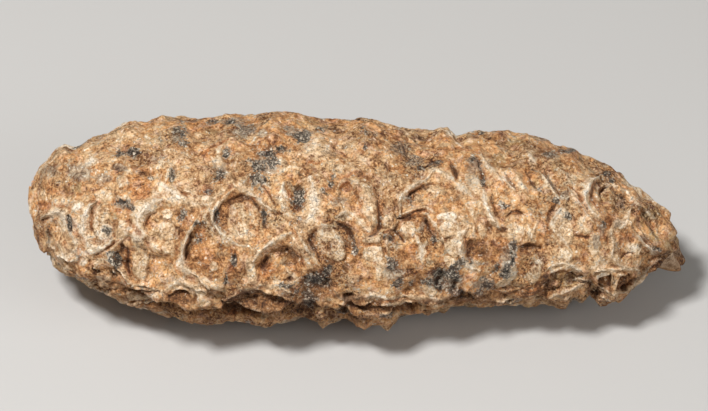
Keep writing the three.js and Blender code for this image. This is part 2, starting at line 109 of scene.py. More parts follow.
# name: (rise, half width, how pale, where it runs)
RIDGES = {
    "end rim": (0.75, 0.5, 1.0, [(40, 217), (50, 214), (60, 212), (65, 219), (68, 229), (73, 238),
        (77, 248), (78, 257), (70, 262)]),
    "end hem": (0.5, 0.3, 0.9, [(46, 226), (47, 238), (52, 249), (62, 258), (70, 262)]),
    "end line": (0.2, 0.15, 0.9, [(46, 226), (48, 236), (53, 243)]),
    "end sliver": (0.45, 0.2, 1.0, [(72, 216), (75, 224), (77, 230)]),
    "end flank": (0.2, 0.3, 0.6, [(55, 261), (62, 267), (70, 272)]),
    "end foot": (0.35, 0.22, 0.9, [(76, 272), (86, 282), (97, 290), (110, 296), (124, 303)]),
    "end shoulder": (0.3, 0.3, 0.6, [(34, 180), (38, 172), (46, 165), (55, 156)]),
    "end brow": (0.25, 0.3, 0.5, [(84, 150), (94, 143), (106, 140), (118, 133)]),
    "second rim": (0.75, 0.5, 1.0, [(97, 201), (89, 207), (83, 216), (81, 228), (84, 239), (91, 247),
        (99, 249), (107, 245), (113, 239)]),
    "second fold": (0.45, 0.36, 0.85, [(101, 204), (97, 214), (97, 227), (99, 238)]),
    "crescent rim": (0.8, 0.6, 1.0, [(162, 200), (151, 203), (143, 209), (138, 218), (139, 228),
        (145, 235)]),
    "crescent tail": (0.3, 0.28, 0.6, [(144, 233), (150, 242), (160, 251)]),
    "knee rim": (0.95, 0.26, 1.5, [(103, 247), (106, 253), (108, 261), (114, 266), (121, 274), (127, 282),
        (132, 288)]),
    "knee brow": (0.45, 0.22, 0.7, [(106, 252), (113, 247), (122, 241)]),
    "rust rim": (0.3, 0.3, 0.2, [(124, 170), (140, 168), (154, 170), (158, 178), (154, 188), (144, 197),
        (134, 206)]),
    "hollow rim": (0.75, 0.3, 1.0, [(197, 219), (190, 230), (185, 243), (182, 256), (181, 265), (188, 271),
        (197, 277), (204, 284), (210, 291)]),
    "diamond left": (0.65, 0.26, 1.0, [(233, 188), (225, 196), (217, 205), (212, 213), (214, 223),
        (221, 232), (229, 239), (237, 245), (247, 247)]),
    "diamond edge": (0.4, 0.4, 0.6, [(230, 184), (220, 193), (211, 204), (205, 215), (209, 224),
        (217, 234)]),
    "diamond right": (0.6, 0.28, 1.0, [(238, 187), (248, 191), (258, 200), (266, 207), (276, 212)]),
    "diamond crown": (0.35, 0.4, 0.6, [(236, 186), (230, 176), (222, 166), (217, 156), (217, 147)]),
    "diamond arm": (0.35, 0.28, 0.8, [(240, 186), (246, 178), (252, 172)]),
    "arm rim": (0.4, 0.2, 1.0, [(256, 174), (263, 182), (271, 188)]),
    "pit brow": (0.6, 0.28, 1.0, [(252, 262), (258, 254), (266, 247), (276, 240), (284, 236), (292, 233)]),
    "pit wall": (0.4, 0.4, 0.6, [(291, 234), (298, 246), (305, 257), (312, 269)]),
    "pit hem": (0.35, 0.3, 0.6, [(257, 284), (270, 288), (284, 287), (298, 281)]),
    "pit fold": (0.3, 0.25, 0.8, [(285, 268), (291, 274), (298, 280)]),
    "split rim": (0.6, 0.24, 1.0, [(296, 229), (303, 242), (310, 254), (317, 266)]),
    "split stem": (0.55, 0.6, 1.0, [(298, 228), (308, 219), (315, 205), (314, 190), (310, 176)]),
    "split arch": (0.4, 0.2, 0.7, [(306, 232), (314, 227), (326, 225), (338, 228)]),
    "arc rim": (0.8, 0.6, 0.6, [(346, 180), (355, 181), (364, 188), (369, 198), (371, 209), (374, 220),
        (370, 230)]),
    "arc foot": (0.6, 0.28, 1.0, [(336, 218), (345, 213), (355, 216), (362, 224), (369, 232)]),
    "arc inner": (0.35, 0.2, 0.7, [(337, 190), (340, 183), (347, 179)]),
    "speckled band": (0.3, 0.4, 0.6, [(284, 182), (282, 195), (285, 207), (291, 217), (300, 221)]),
    "shelf": (0.5, 0.6, 0.95, [(160, 184), (170, 190), (180, 198), (192, 203), (206, 205)]),
    "shelf top": (0.3, 0.45, 0.55, [(166, 182), (168, 172), (174, 162), (184, 153)]),
    "shelf side": (0.3, 0.4, 0.6, [(211, 156), (219, 168), (226, 180)]),
    "shelf foot": (0.35, 0.3, 0.8, [(180, 190), (190, 193), (199, 197)]),
    "crown left": (0.3, 0.22, 0.6, [(222, 166), (218, 157), (219, 148), (225, 143)]),
    "crown right": (0.25, 0.22, 0.5, [(236, 150), (238, 158), (234, 166), (240, 176)]),
    "brow left": (0.3, 0.25, 0.5, [(110, 163), (118, 159), (127, 162), (130, 170), (124, 177)]),
    "bank": (0.3, 0.25, 0.5, [(330, 172), (340, 166), (352, 166), (362, 172)]),
    "bank two": (0.25, 0.22, 0.5, [(276, 176), (286, 168), (298, 166), (308, 172)]),
    "bank three": (0.25, 0.22, 0.5, [(372, 186), (384, 180), (394, 184)]),
    "top arc": (0.35, 0.22, 0.6, [(205, 150), (216, 143), (228, 138), (240, 136)]),
    "top fold": (0.3, 0.2, 0.5, [(150, 160), (160, 152), (172, 150), (184, 152)]),
    "saddle left": (0.25, 0.3, 0.6, [(294, 160), (303, 149), (314, 140), (328, 138)]),
    "saddle right": (0.25, 0.3, 0.5, [(334, 136), (346, 143), (357, 154), (366, 166)]),
    "mane one": (0.3, 0.2, 0.4, [(370, 128), (384, 138), (395, 150)]),
    "mane two": (0.3, 0.2, 0.5, [(404, 132), (413, 141), (424, 150), (438, 155)]),
    "wing rim": (0.65, 0.3, 1.0, [(401, 216), (400, 204), (402, 195), (409, 189), (418, 183), (428, 178)]),
    "wing top": (0.5, 0.3, 0.6, [(428, 177), (436, 170), (446, 172)]),
    "wing streak": (0.5, 0.25, 1.0, [(444, 170), (450, 176), (455, 182)]),
    "wing arm": (0.6, 0.34, 1.0, [(457, 183), (463, 189), (471, 197)]),
    "wing sill": (0.35, 0.28, 0.6, [(402, 214), (413, 209), (425, 207), (436, 212)]),
    "lobe post": (0.45, 0.36, 0.8, [(416, 236), (421, 247), (422, 263)]),
    "lobe edge": (0.4, 0.25, 0.7, [(427, 213), (434, 224), (441, 235), (445, 247)]),
    "lobe left": (0.35, 0.22, 0.6, [(398, 222), (389, 231), (386, 243), (389, 254)]),
    "shell edge": (0.6, 0.24, 1.0, [(464, 240), (460, 250), (463, 260), (470, 267), (480, 272)]),
    "shell brow": (0.45, 0.28, 0.9, [(445, 236), (455, 235), (463, 231), (468, 226)]),
    "peak fold": (0.4, 0.25, 0.6, [(449, 131), (455, 139), (461, 146), (470, 148)]),
    "slope one": (0.7, 0.34, 1.0, [(480, 150), (485, 159), (491, 167), (498, 175), (503, 183)]),
    "slope two": (0.7, 0.36, 1.0, [(483, 190), (486, 203), (489, 213), (494, 221), (500, 229)]),
    "slope three": (0.6, 0.34, 0.7, [(499, 166), (507, 180), (515, 191)]),
    "slope four": (0.55, 0.5, 0.3, [(511, 168), (518, 177), (523, 188), (526, 201)]),
    "slope five": (0.5, 0.28, 1.0, [(526, 149), (531, 157), (537, 165)]),
    "slope six": (0.65, 0.3, 1.0, [(540, 171), (547, 180), (553, 189), (557, 198)]),
    "slope seven": (0.35, 0.25, 0.6, [(556, 166), (566, 175), (575, 186)]),
    "slope eight": (0.6, 0.28, 1.0, [(568, 188), (575, 196), (581, 204), (587, 213), (595, 223)]),
    "slope nine": (0.4, 0.3, 0.5, [(466, 205), (473, 215), (478, 227)]),
    "hook": (0.4, 0.2, 0.8, [(538, 221), (534, 230), (531, 241)]),
    "hook two": (0.35, 0.18, 0.7, [(527, 222), (530, 231), (527, 240)]),
    "leaf edge": (0.5, 0.24, 1.0, [(563, 206), (556, 214), (551, 222), (554, 231), (561, 238), (567, 246),
        (572, 252)]),
    "cup rim": (1.0, 0.5, 1.0, [(600, 174), (592, 181), (586, 190), (585, 200), (590, 208), (597, 215),
        (603, 222)]),
    "cup lip": (0.55, 0.22, 1.0, [(605, 175), (611, 181), (616, 187)]),
    "cup ring": (0.45, 0.15, 0.5, [(612, 186), (604, 185), (598, 191), (598, 200), (603, 208), (611, 213)]),
    "cup curl": (0.35, 0.14, 0.5, [(610, 191), (605, 190), (603, 195), (606, 201)]),
    "cup band": (0.4, 0.45, 0.0, [(618, 184), (625, 194), (626, 206), (620, 215)]),
    "neck ridge": (0.6, 0.28, 1.0, [(627, 190), (632, 198), (641, 208)]),
    "neck post": (0.65, 0.3, 1.0, [(631, 208), (628, 218), (632, 227)]),
    "neck fold": (0.35, 0.22, 0.5, [(641, 207), (649, 214), (655, 222), (658, 232)]),
    "beak ridge": (0.8, 0.32, 1.0, [(632, 227), (638, 235), (646, 243), (653, 250), (661, 254)]),
    "crown edge": (0.4, 0.34, 0.8, [(650, 198), (660, 204), (669, 211)]),
    "beak rim": (0.7, 0.36, 1.0, [(624, 221), (615, 224), (612, 234), (614, 246), (613, 256), (619, 264),
        (628, 269), (638, 270)]),
    "beak blade": (0.8, 0.2, 1.3, [(661, 255), (655, 264), (648, 273), (640, 281)]),
    "cave brow": (0.55, 0.24, 1.0, [(590, 276), (597, 272), (607, 270), (618, 269), (630, 268),
        (641, 274)]),
    "cave post": (0.4, 0.25, 0.7, [(612, 272), (613, 281), (611, 290)]),
    "cave lip": (0.55, 0.28, 0.9, [(598, 287), (606, 292), (615, 295), (626, 292), (636, 284), (643, 277)]),
    "cave foot": (0.4, 0.22, 0.8, [(600, 297), (612, 302), (624, 298)]),
    "great brow": (0.55, 0.26, 1.0, [(545, 271), (552, 266), (562, 264), (574, 268), (583, 273)]),
    "great lip": (0.55, 0.34, 0.8, [(545, 300), (556, 296), (567, 292), (578, 287), (586, 284)]),
    "great beam": (0.4, 0.18, 1.0, [(572, 280), (582, 280), (593, 284)]),
    "curl": (0.4, 0.18, 1.0, [(533, 257), (538, 261), (540, 268), (538, 276)]),
    "root lip": (0.5, 0.34, 0.8, [(130, 284), (146, 287), (162, 292), (170, 287), (182, 282), (194, 288),
        (210, 293), (226, 298)]),
    "root edge": (0.5, 0.36, 0.7, [(226, 298), (236, 292), (248, 289), (262, 286), (276, 288), (292, 294),
        (308, 300)]),
    "root hem": (0.5, 0.36, 0.8, [(334, 290), (341, 299), (356, 298), (374, 296), (388, 300), (404, 296),
        (420, 298), (436, 302), (456, 300), (478, 297)]),
    "root bar": (0.35, 0.2, 0.6, [(225, 311), (240, 306), (256, 309), (272, 316)]),
    "sill": (0.45, 0.24, 0.9, [(494, 300), (503, 302), (513, 300)]),
    "sill two": (0.4, 0.24, 0.7, [(524, 300), (534, 297), (545, 300)]),
}

# name: (depth, half width, how dark its painted shade is, where it runs)
GROOVES = {
    "end slit": (0.9, 0.26, 1.2, [(68, 216), (70, 224), (75, 233)]),
    "end seam": (0.35, 0.16, 0.8, [(49, 224), (48, 231), (51, 240)]),
    "end rust": (0.25, 0.18, 0.5, [(79, 245), (79, 257), (84, 268)]),
    "diamond moat": (0.5, 0.24, 0.9, [(231, 199), (241, 196), (250, 199), (257, 206), (260, 214)]),
    "diamond wall": (0.4, 0.3, 0.5, [(217, 224), (216, 213), (221, 204)]),
    "diamond stripes": (0.2, 0.14, 0.4, [(238, 208), (237, 222), (240, 238)]),
    "diamond stripe": (0.2, 0.14, 0.4, [(250, 206), (251, 222), (248, 238)]),
    "top crack": (0.4, 0.14, 1.0, [(257, 157), (266, 153), (275, 152), (284, 148), (292, 144)]),
    "saddle line": (0.2, 0.12, 0.6, [(293, 162), (299, 153), (308, 146), (313, 139)]),
    "saddle bar": (0.2, 0.12, 0.5, [(306, 162), (315, 162), (324, 161)]),
    "wing crack": (0.45, 0.14, 1.0, [(410, 167), (419, 168), (429, 165), (434, 161), (442, 161)]),
    "mane crack": (0.3, 0.14, 0.9, [(385, 138), (396, 139), (403, 145), (404, 154), (410, 160)]),
    "peak crack": (0.3, 0.14, 0.7, [(448, 150), (458, 149), (468, 147)]),
    "wing gap": (0.6, 0.22, 1.0, [(397, 219), (406, 217), (415, 211), (424, 210), (430, 214)]),
    "wing line": (0.3, 0.18, 0.7, [(405, 197), (412, 192), (424, 187), (434, 181)]),
    "split gap": (0.6, 0.3, 1.0, [(334, 222), (343, 226), (351, 233), (356, 243)]),
    "split pocket": (0.5, 0.22, 0.9, [(307, 233), (311, 243), (316, 254), (320, 263)]),
    "split seam": (0.35, 0.16, 0.6, [(331, 243), (330, 250), (333, 258)]),
    "lobe gap": (0.6, 0.25, 1.0, [(424, 217), (428, 226), (433, 236)]),
    "lobe seam": (0.4, 0.18, 0.8, [(384, 233), (392, 230), (399, 234), (404, 242)]),
    "arc gap": (0.5, 0.2, 0.9, [(377, 200), (379, 214), (380, 226), (374, 235), (364, 238)]),
    "shelf seam": (0.25, 0.16, 0.7, [(176, 188), (182, 193), (187, 198)]),
    "crown seam": (0.3, 0.2, 0.6, [(203, 161), (207, 151), (216, 145), (229, 138)]),
    "second seam": (0.35, 0.18, 0.7, [(92, 207), (91, 217), (93, 228), (96, 236)]),
    "second foot": (0.35, 0.18, 0.6, [(96, 255), (106, 249), (114, 243), (122, 239)]),
    "crescent seam": (0.4, 0.22, 0.5, [(130, 220), (135, 229), (144, 240), (153, 252)]),
    "crescent wall": (0.35, 0.2, 0.5, [(146, 226), (148, 217), (156, 210)]),
    "knee seam": (0.5, 0.28, 0.9, [(124, 243), (129, 253), (128, 265), (132, 277)]),
    "hollow seam": (0.4, 0.22, 0.6, [(236, 250), (234, 263), (228, 274), (226, 285)]),
    "hollow edge": (0.5, 0.2, 0.9, [(192, 233), (187, 246), (186, 260)]),
    "arm seam": (0.35, 0.2, 0.8, [(260, 182), (266, 190), (272, 198), (276, 206)]),
    "lens": (0.5, 0.3, 0.9, [(449, 159), (453, 168), (458, 179)]),
    "slope gap one": (0.5, 0.22, 0.9, [(478, 160), (482, 175), (487, 189)]),
    "slope gap two": (0.45, 0.2, 0.8, [(504, 172), (510, 181), (515, 189)]),
    "slope gap three": (0.4, 0.16, 0.9, [(543, 170), (550, 180), (559, 194)]),
    "slope gap four": (0.4, 0.22, 0.8, [(526, 170), (531, 182), (538, 192)]),
    "slope gap five": (0.35, 0.15, 0.7, [(571, 186), (580, 198), (590, 212)]),
    "slope gap six": (0.35, 0.18, 0.7, [(490, 196), (494, 207), (499, 218)]),
    "leaf crack": (0.3, 0.12, 1.0, [(575, 236), (583, 237), (592, 237)]),
    "leaf wall": (0.4, 0.2, 0.7, [(557, 203), (549, 214), (548, 224)]),
    "brow arc": (0.45, 0.2, 0.9, [(508, 215), (512, 212), (519, 212), (526, 216)]),
    "beak gap": (0.5, 0.2, 1.0, [(639, 229), (646, 239), (654, 247), (660, 250)]),
    "cup shade": (0.35, 0.3, 0.8, [(602, 173), (608, 177), (614, 183)]),
    "cup moat": (0.35, 0.2, 0.8, [(602, 181), (594, 185), (591, 195), (594, 204), (601, 211)]),
    "cup groove": (0.3, 0.12, 0.6, [(609, 188), (602, 189), (600, 196), (604, 205)]),
    "beak line": (0.35, 0.18, 1.0, [(620, 258), (627, 254), (635, 253)]),
    "neck line": (0.2, 0.14, 0.5, [(641, 214), (646, 220), (650, 226), (656, 238)]),
    "root crack": (0.7, 0.22, 1.0, [(132, 288), (142, 290), (152, 290), (162, 293)]),
    "root notch": (0.7, 0.26, 1.0, [(128, 304), (142, 303), (154, 301), (163, 303)]),
    "root gap": (1.0, 0.4, 1.0, [(222, 301), (232, 297), (243, 293), (256, 290), (272, 292)]),
    "root seam": (0.5, 0.25, 0.8, [(200, 312), (216, 309), (232, 313), (250, 311)]),
    "hem gap": (0.8, 0.3, 1.0, [(338, 305), (350, 303), (362, 304), (370, 301)]),
    "hem gap two": (0.8, 0.3, 1.0, [(380, 304), (390, 304), (402, 301), (412, 301)]),
    "hem gap three": (0.6, 0.22, 1.0, [(420, 306), (432, 302), (446, 304)]),
    "beak hem": (0.4, 0.15, 1.0, [(576, 283), (585, 282), (594, 286)]),
    "brow mark": (0.3, 0.15, 1.0, [(332, 145), (335, 148), (337, 150)]),
    "brow mark two": (0.3, 0.15, 0.9, [(341, 151), (344, 155), (347, 159)]),
    "foot crack": (0.4, 0.18, 0.9, [(532, 284), (524, 288), (513, 291), (503, 290)]),
    "foot crack two": (0.4, 0.2, 0.9, [(545, 288), (534, 292), (524, 294)]),
}

# name: (depth, how soft its edge is, its outline)
HOLLOWS = {
    "end": (0.35, 0.25, [(50, 223), (46, 231), (52, 240), (62, 242), (67, 236), (65, 225), (58, 218)]),
    "second": (0.35, 0.4, [(95, 209), (87, 220), (88, 235), (97, 245), (108, 243), (116, 234), (118, 220),
        (108, 207)]),
    "crescent": (0.35, 0.45, [(162, 205), (150, 211), (144, 220), (150, 230), (158, 240), (168, 249),
        (180, 242), (186, 230), (184, 216), (174, 206)]),
    "knee cave": (1.1, 0.25, [(119, 246), (124, 242), (128, 250), (127, 258), (122, 256)]),
    "knee": (0.7, 0.4, [(126, 246), (112, 253), (115, 264), (124, 273), (136, 282), (152, 284), (166, 278),
        (176, 267), (172, 256), (158, 250), (144, 246)]),
    "great left": (0.35, 0.6, [(199, 222), (191, 233), (187, 247), (186, 261), (194, 270), (204, 278),
        (215, 285), (227, 281), (233, 268), (238, 255), (232, 246), (220, 240), (208, 229)]),
    "diamond": (0.45, 0.5, [(236, 195), (224, 201), (215, 213), (219, 226), (230, 236), (244, 242),
        (258, 238), (268, 226), (268, 213), (257, 203), (246, 195)]),
    "pit": (1.5, 0.9, [(257, 262), (263, 252), (274, 246), (288, 243), (297, 250), (303, 260), (305, 272),
        (298, 280), (284, 284), (268, 282), (258, 276)]),
    "split": (0.65, 0.45, [(314, 229), (307, 239), (313, 251), (321, 262), (333, 265), (345, 262),
        (355, 256), (358, 243), (356, 232), (344, 225), (328, 226)]),
    "arc": (0.5, 0.3, [(344, 184), (338, 193), (337, 205), (347, 209), (358, 212), (363, 205), (361, 195),
        (355, 187)]),
    "speckled": (0.45, 0.3, [(299, 185), (291, 194), (291, 206), (299, 213), (307, 206), (308, 194)]),
    "shelf left": (0.45, 0.25, [(177, 164), (171, 172), (170, 184), (177, 185), (179, 174)]),
    "shelf right": (0.45, 0.25, [(214, 166), (213, 176), (217, 184), (224, 184), (223, 175), (218, 167)]),
    "shelf": (0.15, 0.5, [(178, 162), (170, 172), (172, 184), (180, 189), (196, 192), (212, 189),
        (220, 178), (216, 166), (202, 161), (190, 159)]),
    "crown": (0.45, 0.3, [(222, 148), (220, 157), (226, 166), (234, 160), (236, 152), (230, 145)]),
    "wing": (0.4, 0.3, [(430, 182), (416, 187), (406, 196), (406, 208), (420, 207), (438, 205), (454, 205),
        (464, 199), (457, 188), (444, 181)]),
    "lobe": (0.5, 0.45, [(398, 221), (387, 232), (386, 247), (396, 257), (409, 263), (421, 262), (434, 251),
        (439, 236), (433, 222), (423, 213), (410, 216)]),
    "shell pit": (0.9, 0.45, [(468, 239), (463, 248), (466, 260), (474, 262), (484, 259), (490, 250),
        (485, 242), (476, 239)]),
    "eye one": (0.35, 0.35, [(487, 222), (486, 230), (490, 237), (494, 230), (492, 222)]),
    "eye two": (0.35, 0.35, [(501, 226), (496, 230), (500, 234), (509, 232), (507, 226)]),
    "olive": (0.45, 0.4, [(494, 151), (490, 158), (498, 168), (507, 168), (508, 159), (502, 150)]),
    "olive slope": (0.4, 0.3, [(530, 174), (527, 182), (534, 194), (543, 196), (544, 186), (538, 176)]),
    "brown pit": (0.9, 0.3, [(519, 246), (520, 254), (530, 257), (541, 253), (542, 246), (530, 243)]),
    "great pit": (1.6, 0.5, [(553, 268), (546, 275), (541, 288), (545, 297), (556, 293), (568, 288),
        (580, 280), (586, 276), (576, 271), (564, 267)]),
    "cave one": (1.8, 0.3, [(600, 272), (595, 278), (597, 287), (605, 290), (612, 287), (613, 276),
        (607, 272)]),
    "cave two": (2.1, 0.3, [(617, 273), (614, 280), (615, 291), (625, 292), (632, 285), (631, 274),
        (622, 271)]),
    "cave three": (0.9, 0.3, [(634, 275), (630, 282), (634, 287), (641, 281), (642, 276)]),
    "foot cave": (1.8, 0.35, [(588, 287), (584, 294), (588, 302), (598, 303), (604, 297), (601, 289),
        (595, 286)]),
    "foot slot": (1.3, 0.3, [(561, 300), (568, 295), (579, 295), (577, 302), (567, 304)]),
    "foot nook": (1.2, 0.3, [(537, 299), (534, 304), (540, 309), (546, 304), (543, 299)]),
    "gem": (0.8, 0.25, [(508, 304), (514, 301), (523, 303), (524, 308), (514, 309)]),
    "under root": (1.4, 0.35, [(222, 302), (236, 297), (250, 293), (264, 291), (278, 293), (296, 299),
        (314, 304), (316, 313), (290, 318), (256, 317), (230, 312)]),
    "black nook": (0.9, 0.4, [(303, 274), (314, 268), (328, 270), (332, 282), (324, 298), (312, 308),
        (302, 296)]),
    "under root two": (1.2, 0.35, [(340, 305), (370, 303), (410, 302), (412, 312), (380, 314), (344, 313)]),
    "root pocket": (1.3, 0.3, [(168, 298), (171, 291), (178, 286), (187, 287), (193, 293), (196, 300),
        (183, 303)]),
    "hem pocket": (1.0, 0.3, [(343, 293), (351, 290), (356, 296), (352, 303), (344, 302)]),
    "cup": (0.35, 0.3, [(606, 179), (595, 183), (590, 194), (595, 206), (606, 214), (618, 217), (628, 210),
        (628, 196), (621, 185), (613, 180)]),
    "neck": (0.4, 0.45, [(642, 212), (634, 218), (637, 230), (646, 241), (658, 249), (663, 239), (664, 225),
        (659, 213), (650, 206)]),
    "beak": (0.55, 0.3, [(623, 228), (617, 238), (618, 252), (626, 263), (640, 268), (650, 262), (656, 256),
        (646, 246), (634, 233)]),
    "knot": (0.35, 0.4, [(70, 178), (62, 186), (64, 198), (74, 202), (82, 194), (80, 182)]),
    "rust": (0.35, 0.4, [(128, 172), (120, 182), (122, 196), (132, 203), (144, 194), (153, 184),
        (150, 172)]),
    "black": (0.5, 0.3, [(118, 150), (113, 154), (126, 160), (138, 160), (140, 150), (130, 147)]),
    "ring": (0.4, 0.25, [(113, 164), (111, 170), (118, 174), (127, 173), (129, 166), (121, 162)]),
    "wedge slot": (0.5, 0.25, [(114, 199), (120, 207), (129, 211), (134, 208), (126, 201), (118, 197)]),
    "stone nook": (0.9, 0.3, [(93, 266), (92, 271), (97, 276), (102, 273), (99, 267)]),
    "stone nook two": (0.9, 0.3, [(112, 269), (110, 275), (114, 280), (118, 275), (116, 270)]),
    "black foot": (0.8, 0.4, [(438, 268), (434, 280), (437, 294), (446, 298), (450, 288), (447, 272)]),
    "black foot two": (0.8, 0.4, [(456, 264), (451, 274), (452, 290), (462, 296), (466, 284), (463, 268)]),
}

# name: (rise, how soft its edge is, how pale, its outline)
PLATES = {
    "end plate": (0.4, 0.25, 0.5, [(56, 242), (66, 240), (75, 245), (77, 254), (72, 261), (62, 257)]),
    "second block": (0.4, 0.2, 0.9, [(100, 226), (106, 223), (112, 228), (111, 239), (104, 242),
        (99, 236)]),
    "second dome": (0.35, 0.25, 0.5, [(101, 209), (108, 207), (111, 213), (108, 222), (101, 222)]),
    "olive bead": (0.35, 0.18, 0.0, [(112, 211), (116, 211), (116, 218), (112, 222), (109, 218)]),
    "pillar": (0.45, 0.2, 0.95, [(119, 222), (126, 221), (129, 230), (124, 240), (117, 244), (115, 236)]),
    "white pebble": (0.45, 0.2, 1.0, [(130, 234), (137, 230), (144, 235), (141, 243), (132, 242)]),
    "knee slab": (0.5, 0.2, 0.9, [(112, 262), (119, 266), (126, 271), (133, 287), (127, 280), (119, 271)]),
    "knee block": (0.55, 0.25, 0.5, [(134, 256), (141, 250), (147, 256), (148, 270), (144, 281), (136, 279),
        (133, 268)]),
    "crescent bead": (0.4, 0.2, 0.9, [(163, 210), (170, 210), (172, 217), (167, 220), (162, 216)]),
    "crescent block": (0.4, 0.2, 0.6, [(161, 224), (173, 223), (174, 236), (168, 240), (160, 237)]),
    "crescent heel": (0.4, 0.2, 0.6, [(163, 242), (173, 241), (174, 251), (166, 255), (161, 249)]),
    "diamond face": (0.45, 0.3, 0.4, [(231, 207), (240, 202), (252, 203), (261, 212), (262, 228),
        (254, 239), (242, 243), (232, 236), (228, 222)]),
    "diamond patch": (0.15, 0.2, 0.8, [(237, 224), (247, 224), (248, 236), (238, 237)]),
    "shelf face": (0.35, 0.3, 0.3, [(183, 166), (194, 163), (206, 165), (212, 174), (210, 186), (196, 190),
        (184, 186), (180, 176)]),
    "shelf pebble": (0.35, 0.2, 1.0, [(199, 196), (212, 196), (212, 203), (204, 206)]),
    "hollow foot": (0.35, 0.2, 0.9, [(202, 277), (210, 281), (212, 288), (205, 289)]),
    "hollow bead": (0.35, 0.2, 1.0, [(195, 291), (203, 289), (206, 295), (199, 298)]),
    "hollow stone": (0.3, 0.2, 0.6, [(208, 263), (216, 262), (218, 269), (211, 272)]),
    "crown patch": (0.3, 0.25, 0.9, [(236, 184), (243, 182), (247, 188), (241, 193)]),
    "pit block": (0.5, 0.25, 0.8, [(246, 259), (253, 257), (256, 270), (257, 283), (249, 283), (246, 272)]),
    "pit floor": (0.7, 0.35, 0.0, [(270, 268), (284, 266), (292, 274), (282, 280), (268, 278)]),
    "molar": (0.6, 0.25, 0.5, [(318, 230), (328, 226), (338, 231), (344, 243), (345, 257), (337, 262),
        (330, 256), (322, 252), (317, 241)]),
    "molar crown": (0.25, 0.2, 0.8, [(319, 230), (328, 227), (336, 231), (338, 239), (328, 242),
        (320, 239)]),
    "molar heel": (0.25, 0.18, 0.95, [(338, 243), (343, 245), (344, 258), (338, 260)]),
    "white wedge": (0.4, 0.18, 1.0, [(363, 241), (370, 234), (379, 231), (381, 240), (372, 243)]),
    "green block": (0.35, 0.2, 0.7, [(364, 248), (380, 247), (383, 259), (374, 262), (364, 257)]),
    "green foot": (0.3, 0.2, 0.5, [(376, 263), (385, 263), (384, 280), (377, 279)]),
    "lobe boss": (0.5, 0.25, 0.6, [(402, 223), (411, 220), (416, 229), (412, 237), (402, 235)]),
    "lobe stone": (0.3, 0.2, 0.6, [(384, 217), (392, 211), (394, 219), (388, 227), (383, 224)]),
    "wing block": (0.3, 0.25, 0.5, [(429, 186), (437, 184), (440, 194), (434, 199), (428, 195)]),
    "shell crown": (0.4, 0.18, 1.0, [(437, 215), (446, 212), (456, 214), (455, 220), (443, 220),
        (437, 219)]),
    "shell top": (0.35, 0.18, 0.7, [(441, 224), (452, 220), (460, 226), (455, 234), (445, 236),
        (440, 231)]),
    "shell fan": (0.5, 0.2, 0.8, [(447, 242), (458, 235), (468, 227), (463, 240), (460, 252), (457, 258),
        (450, 255), (444, 248)]),
    "shell heel": (0.35, 0.18, 0.9, [(444, 256), (452, 258), (455, 265), (450, 268), (445, 262)]),
    "slope plate": (0.35, 0.25, 0.85, [(466, 174), (474, 174), (481, 184), (482, 196), (473, 192),
        (466, 182)]),
    "eye stone": (0.35, 0.2, 0.6, [(479, 222), (485, 220), (486, 232), (482, 240), (478, 232)]),
    "olive stone": (0.35, 0.25, 0.6, [(506, 226), (516, 222), (524, 230), (520, 242), (508, 240)]),
    "leaf": (0.4, 0.2, 0.75, [(562, 206), (553, 217), (552, 225), (559, 236), (568, 246), (573, 240),
        (573, 228), (569, 216)]),
    "leaf stone": (0.3, 0.25, 0.5, [(577, 218), (588, 216), (594, 224), (590, 234), (578, 232)]),
    "cheek stone": (0.3, 0.25, 0.6, [(590, 236), (598, 234), (600, 250), (592, 256), (588, 246)]),
    "lump": (0.35, 0.3, 0.4, [(564, 170), (574, 174), (577, 184), (568, 188), (561, 180)]),
    "olive plate": (0.4, 0.2, 0.9, [(517, 265), (516, 277), (507, 287), (495, 289), (499, 281), (508, 276),
        (511, 267)]),
    "round plate": (0.45, 0.2, 0.8, [(528, 271), (536, 266), (541, 272), (538, 281), (530, 284),
        (526, 277)]),
    "brow plate": (0.3, 0.2, 0.6, [(559, 252), (568, 250), (572, 258), (566, 263), (559, 260)]),
    "foot bead": (0.4, 0.2, 0.9, [(424, 288), (432, 286), (437, 292), (432, 298), (425, 295)]),
    "foot stone": (0.35, 0.3, 0.1, [(466, 276), (476, 274), (481, 284), (476, 294), (466, 292),
        (463, 284)]),
    "great floor": (0.5, 0.3, 0.0, [(558, 274), (570, 273), (576, 279), (566, 287), (556, 288)]),
    "beak face": (0.35, 0.2, 0.6, [(625, 246), (634, 243), (641, 249), (637, 256), (627, 256)]),
    "beak stone": (0.3, 0.2, 0.5, [(626, 259), (636, 258), (640, 264), (632, 268)]),
    "beak crown": (0.35, 0.2, 0.9, [(612, 221), (622, 219), (628, 223), (622, 229), (613, 227)]),
    "root plate": (0.5, 0.2, 0.4, [(195, 298), (208, 297), (213, 303), (204, 308), (196, 305)]),
    "root lens": (0.4, 0.18, 1.0, [(140, 293), (150, 292), (159, 299), (154, 302), (144, 299)]),
    "root block": (0.5, 0.25, 0.6, [(128, 291), (141, 289), (144, 298), (136, 303), (127, 299)]),
    "root stone": (0.5, 0.3, 0.3, [(262, 309), (274, 306), (284, 312), (280, 321), (266, 319)]),
    "top pebble": (0.45, 0.18, 0.6, [(117, 177), (123, 174), (128, 179), (126, 186), (119, 187)]),
    "end stone": (0.5, 0.25, 0.5, [(97, 277), (105, 273), (112, 279), (108, 288), (98, 286)]),
    "end stone two": (0.35, 0.25, 0.2, [(112, 277), (119, 277), (121, 286), (113, 289)]),
    "end step": (0.35, 0.25, 0.6, [(82, 250), (91, 250), (93, 258), (86, 260), (81, 257)]),
}

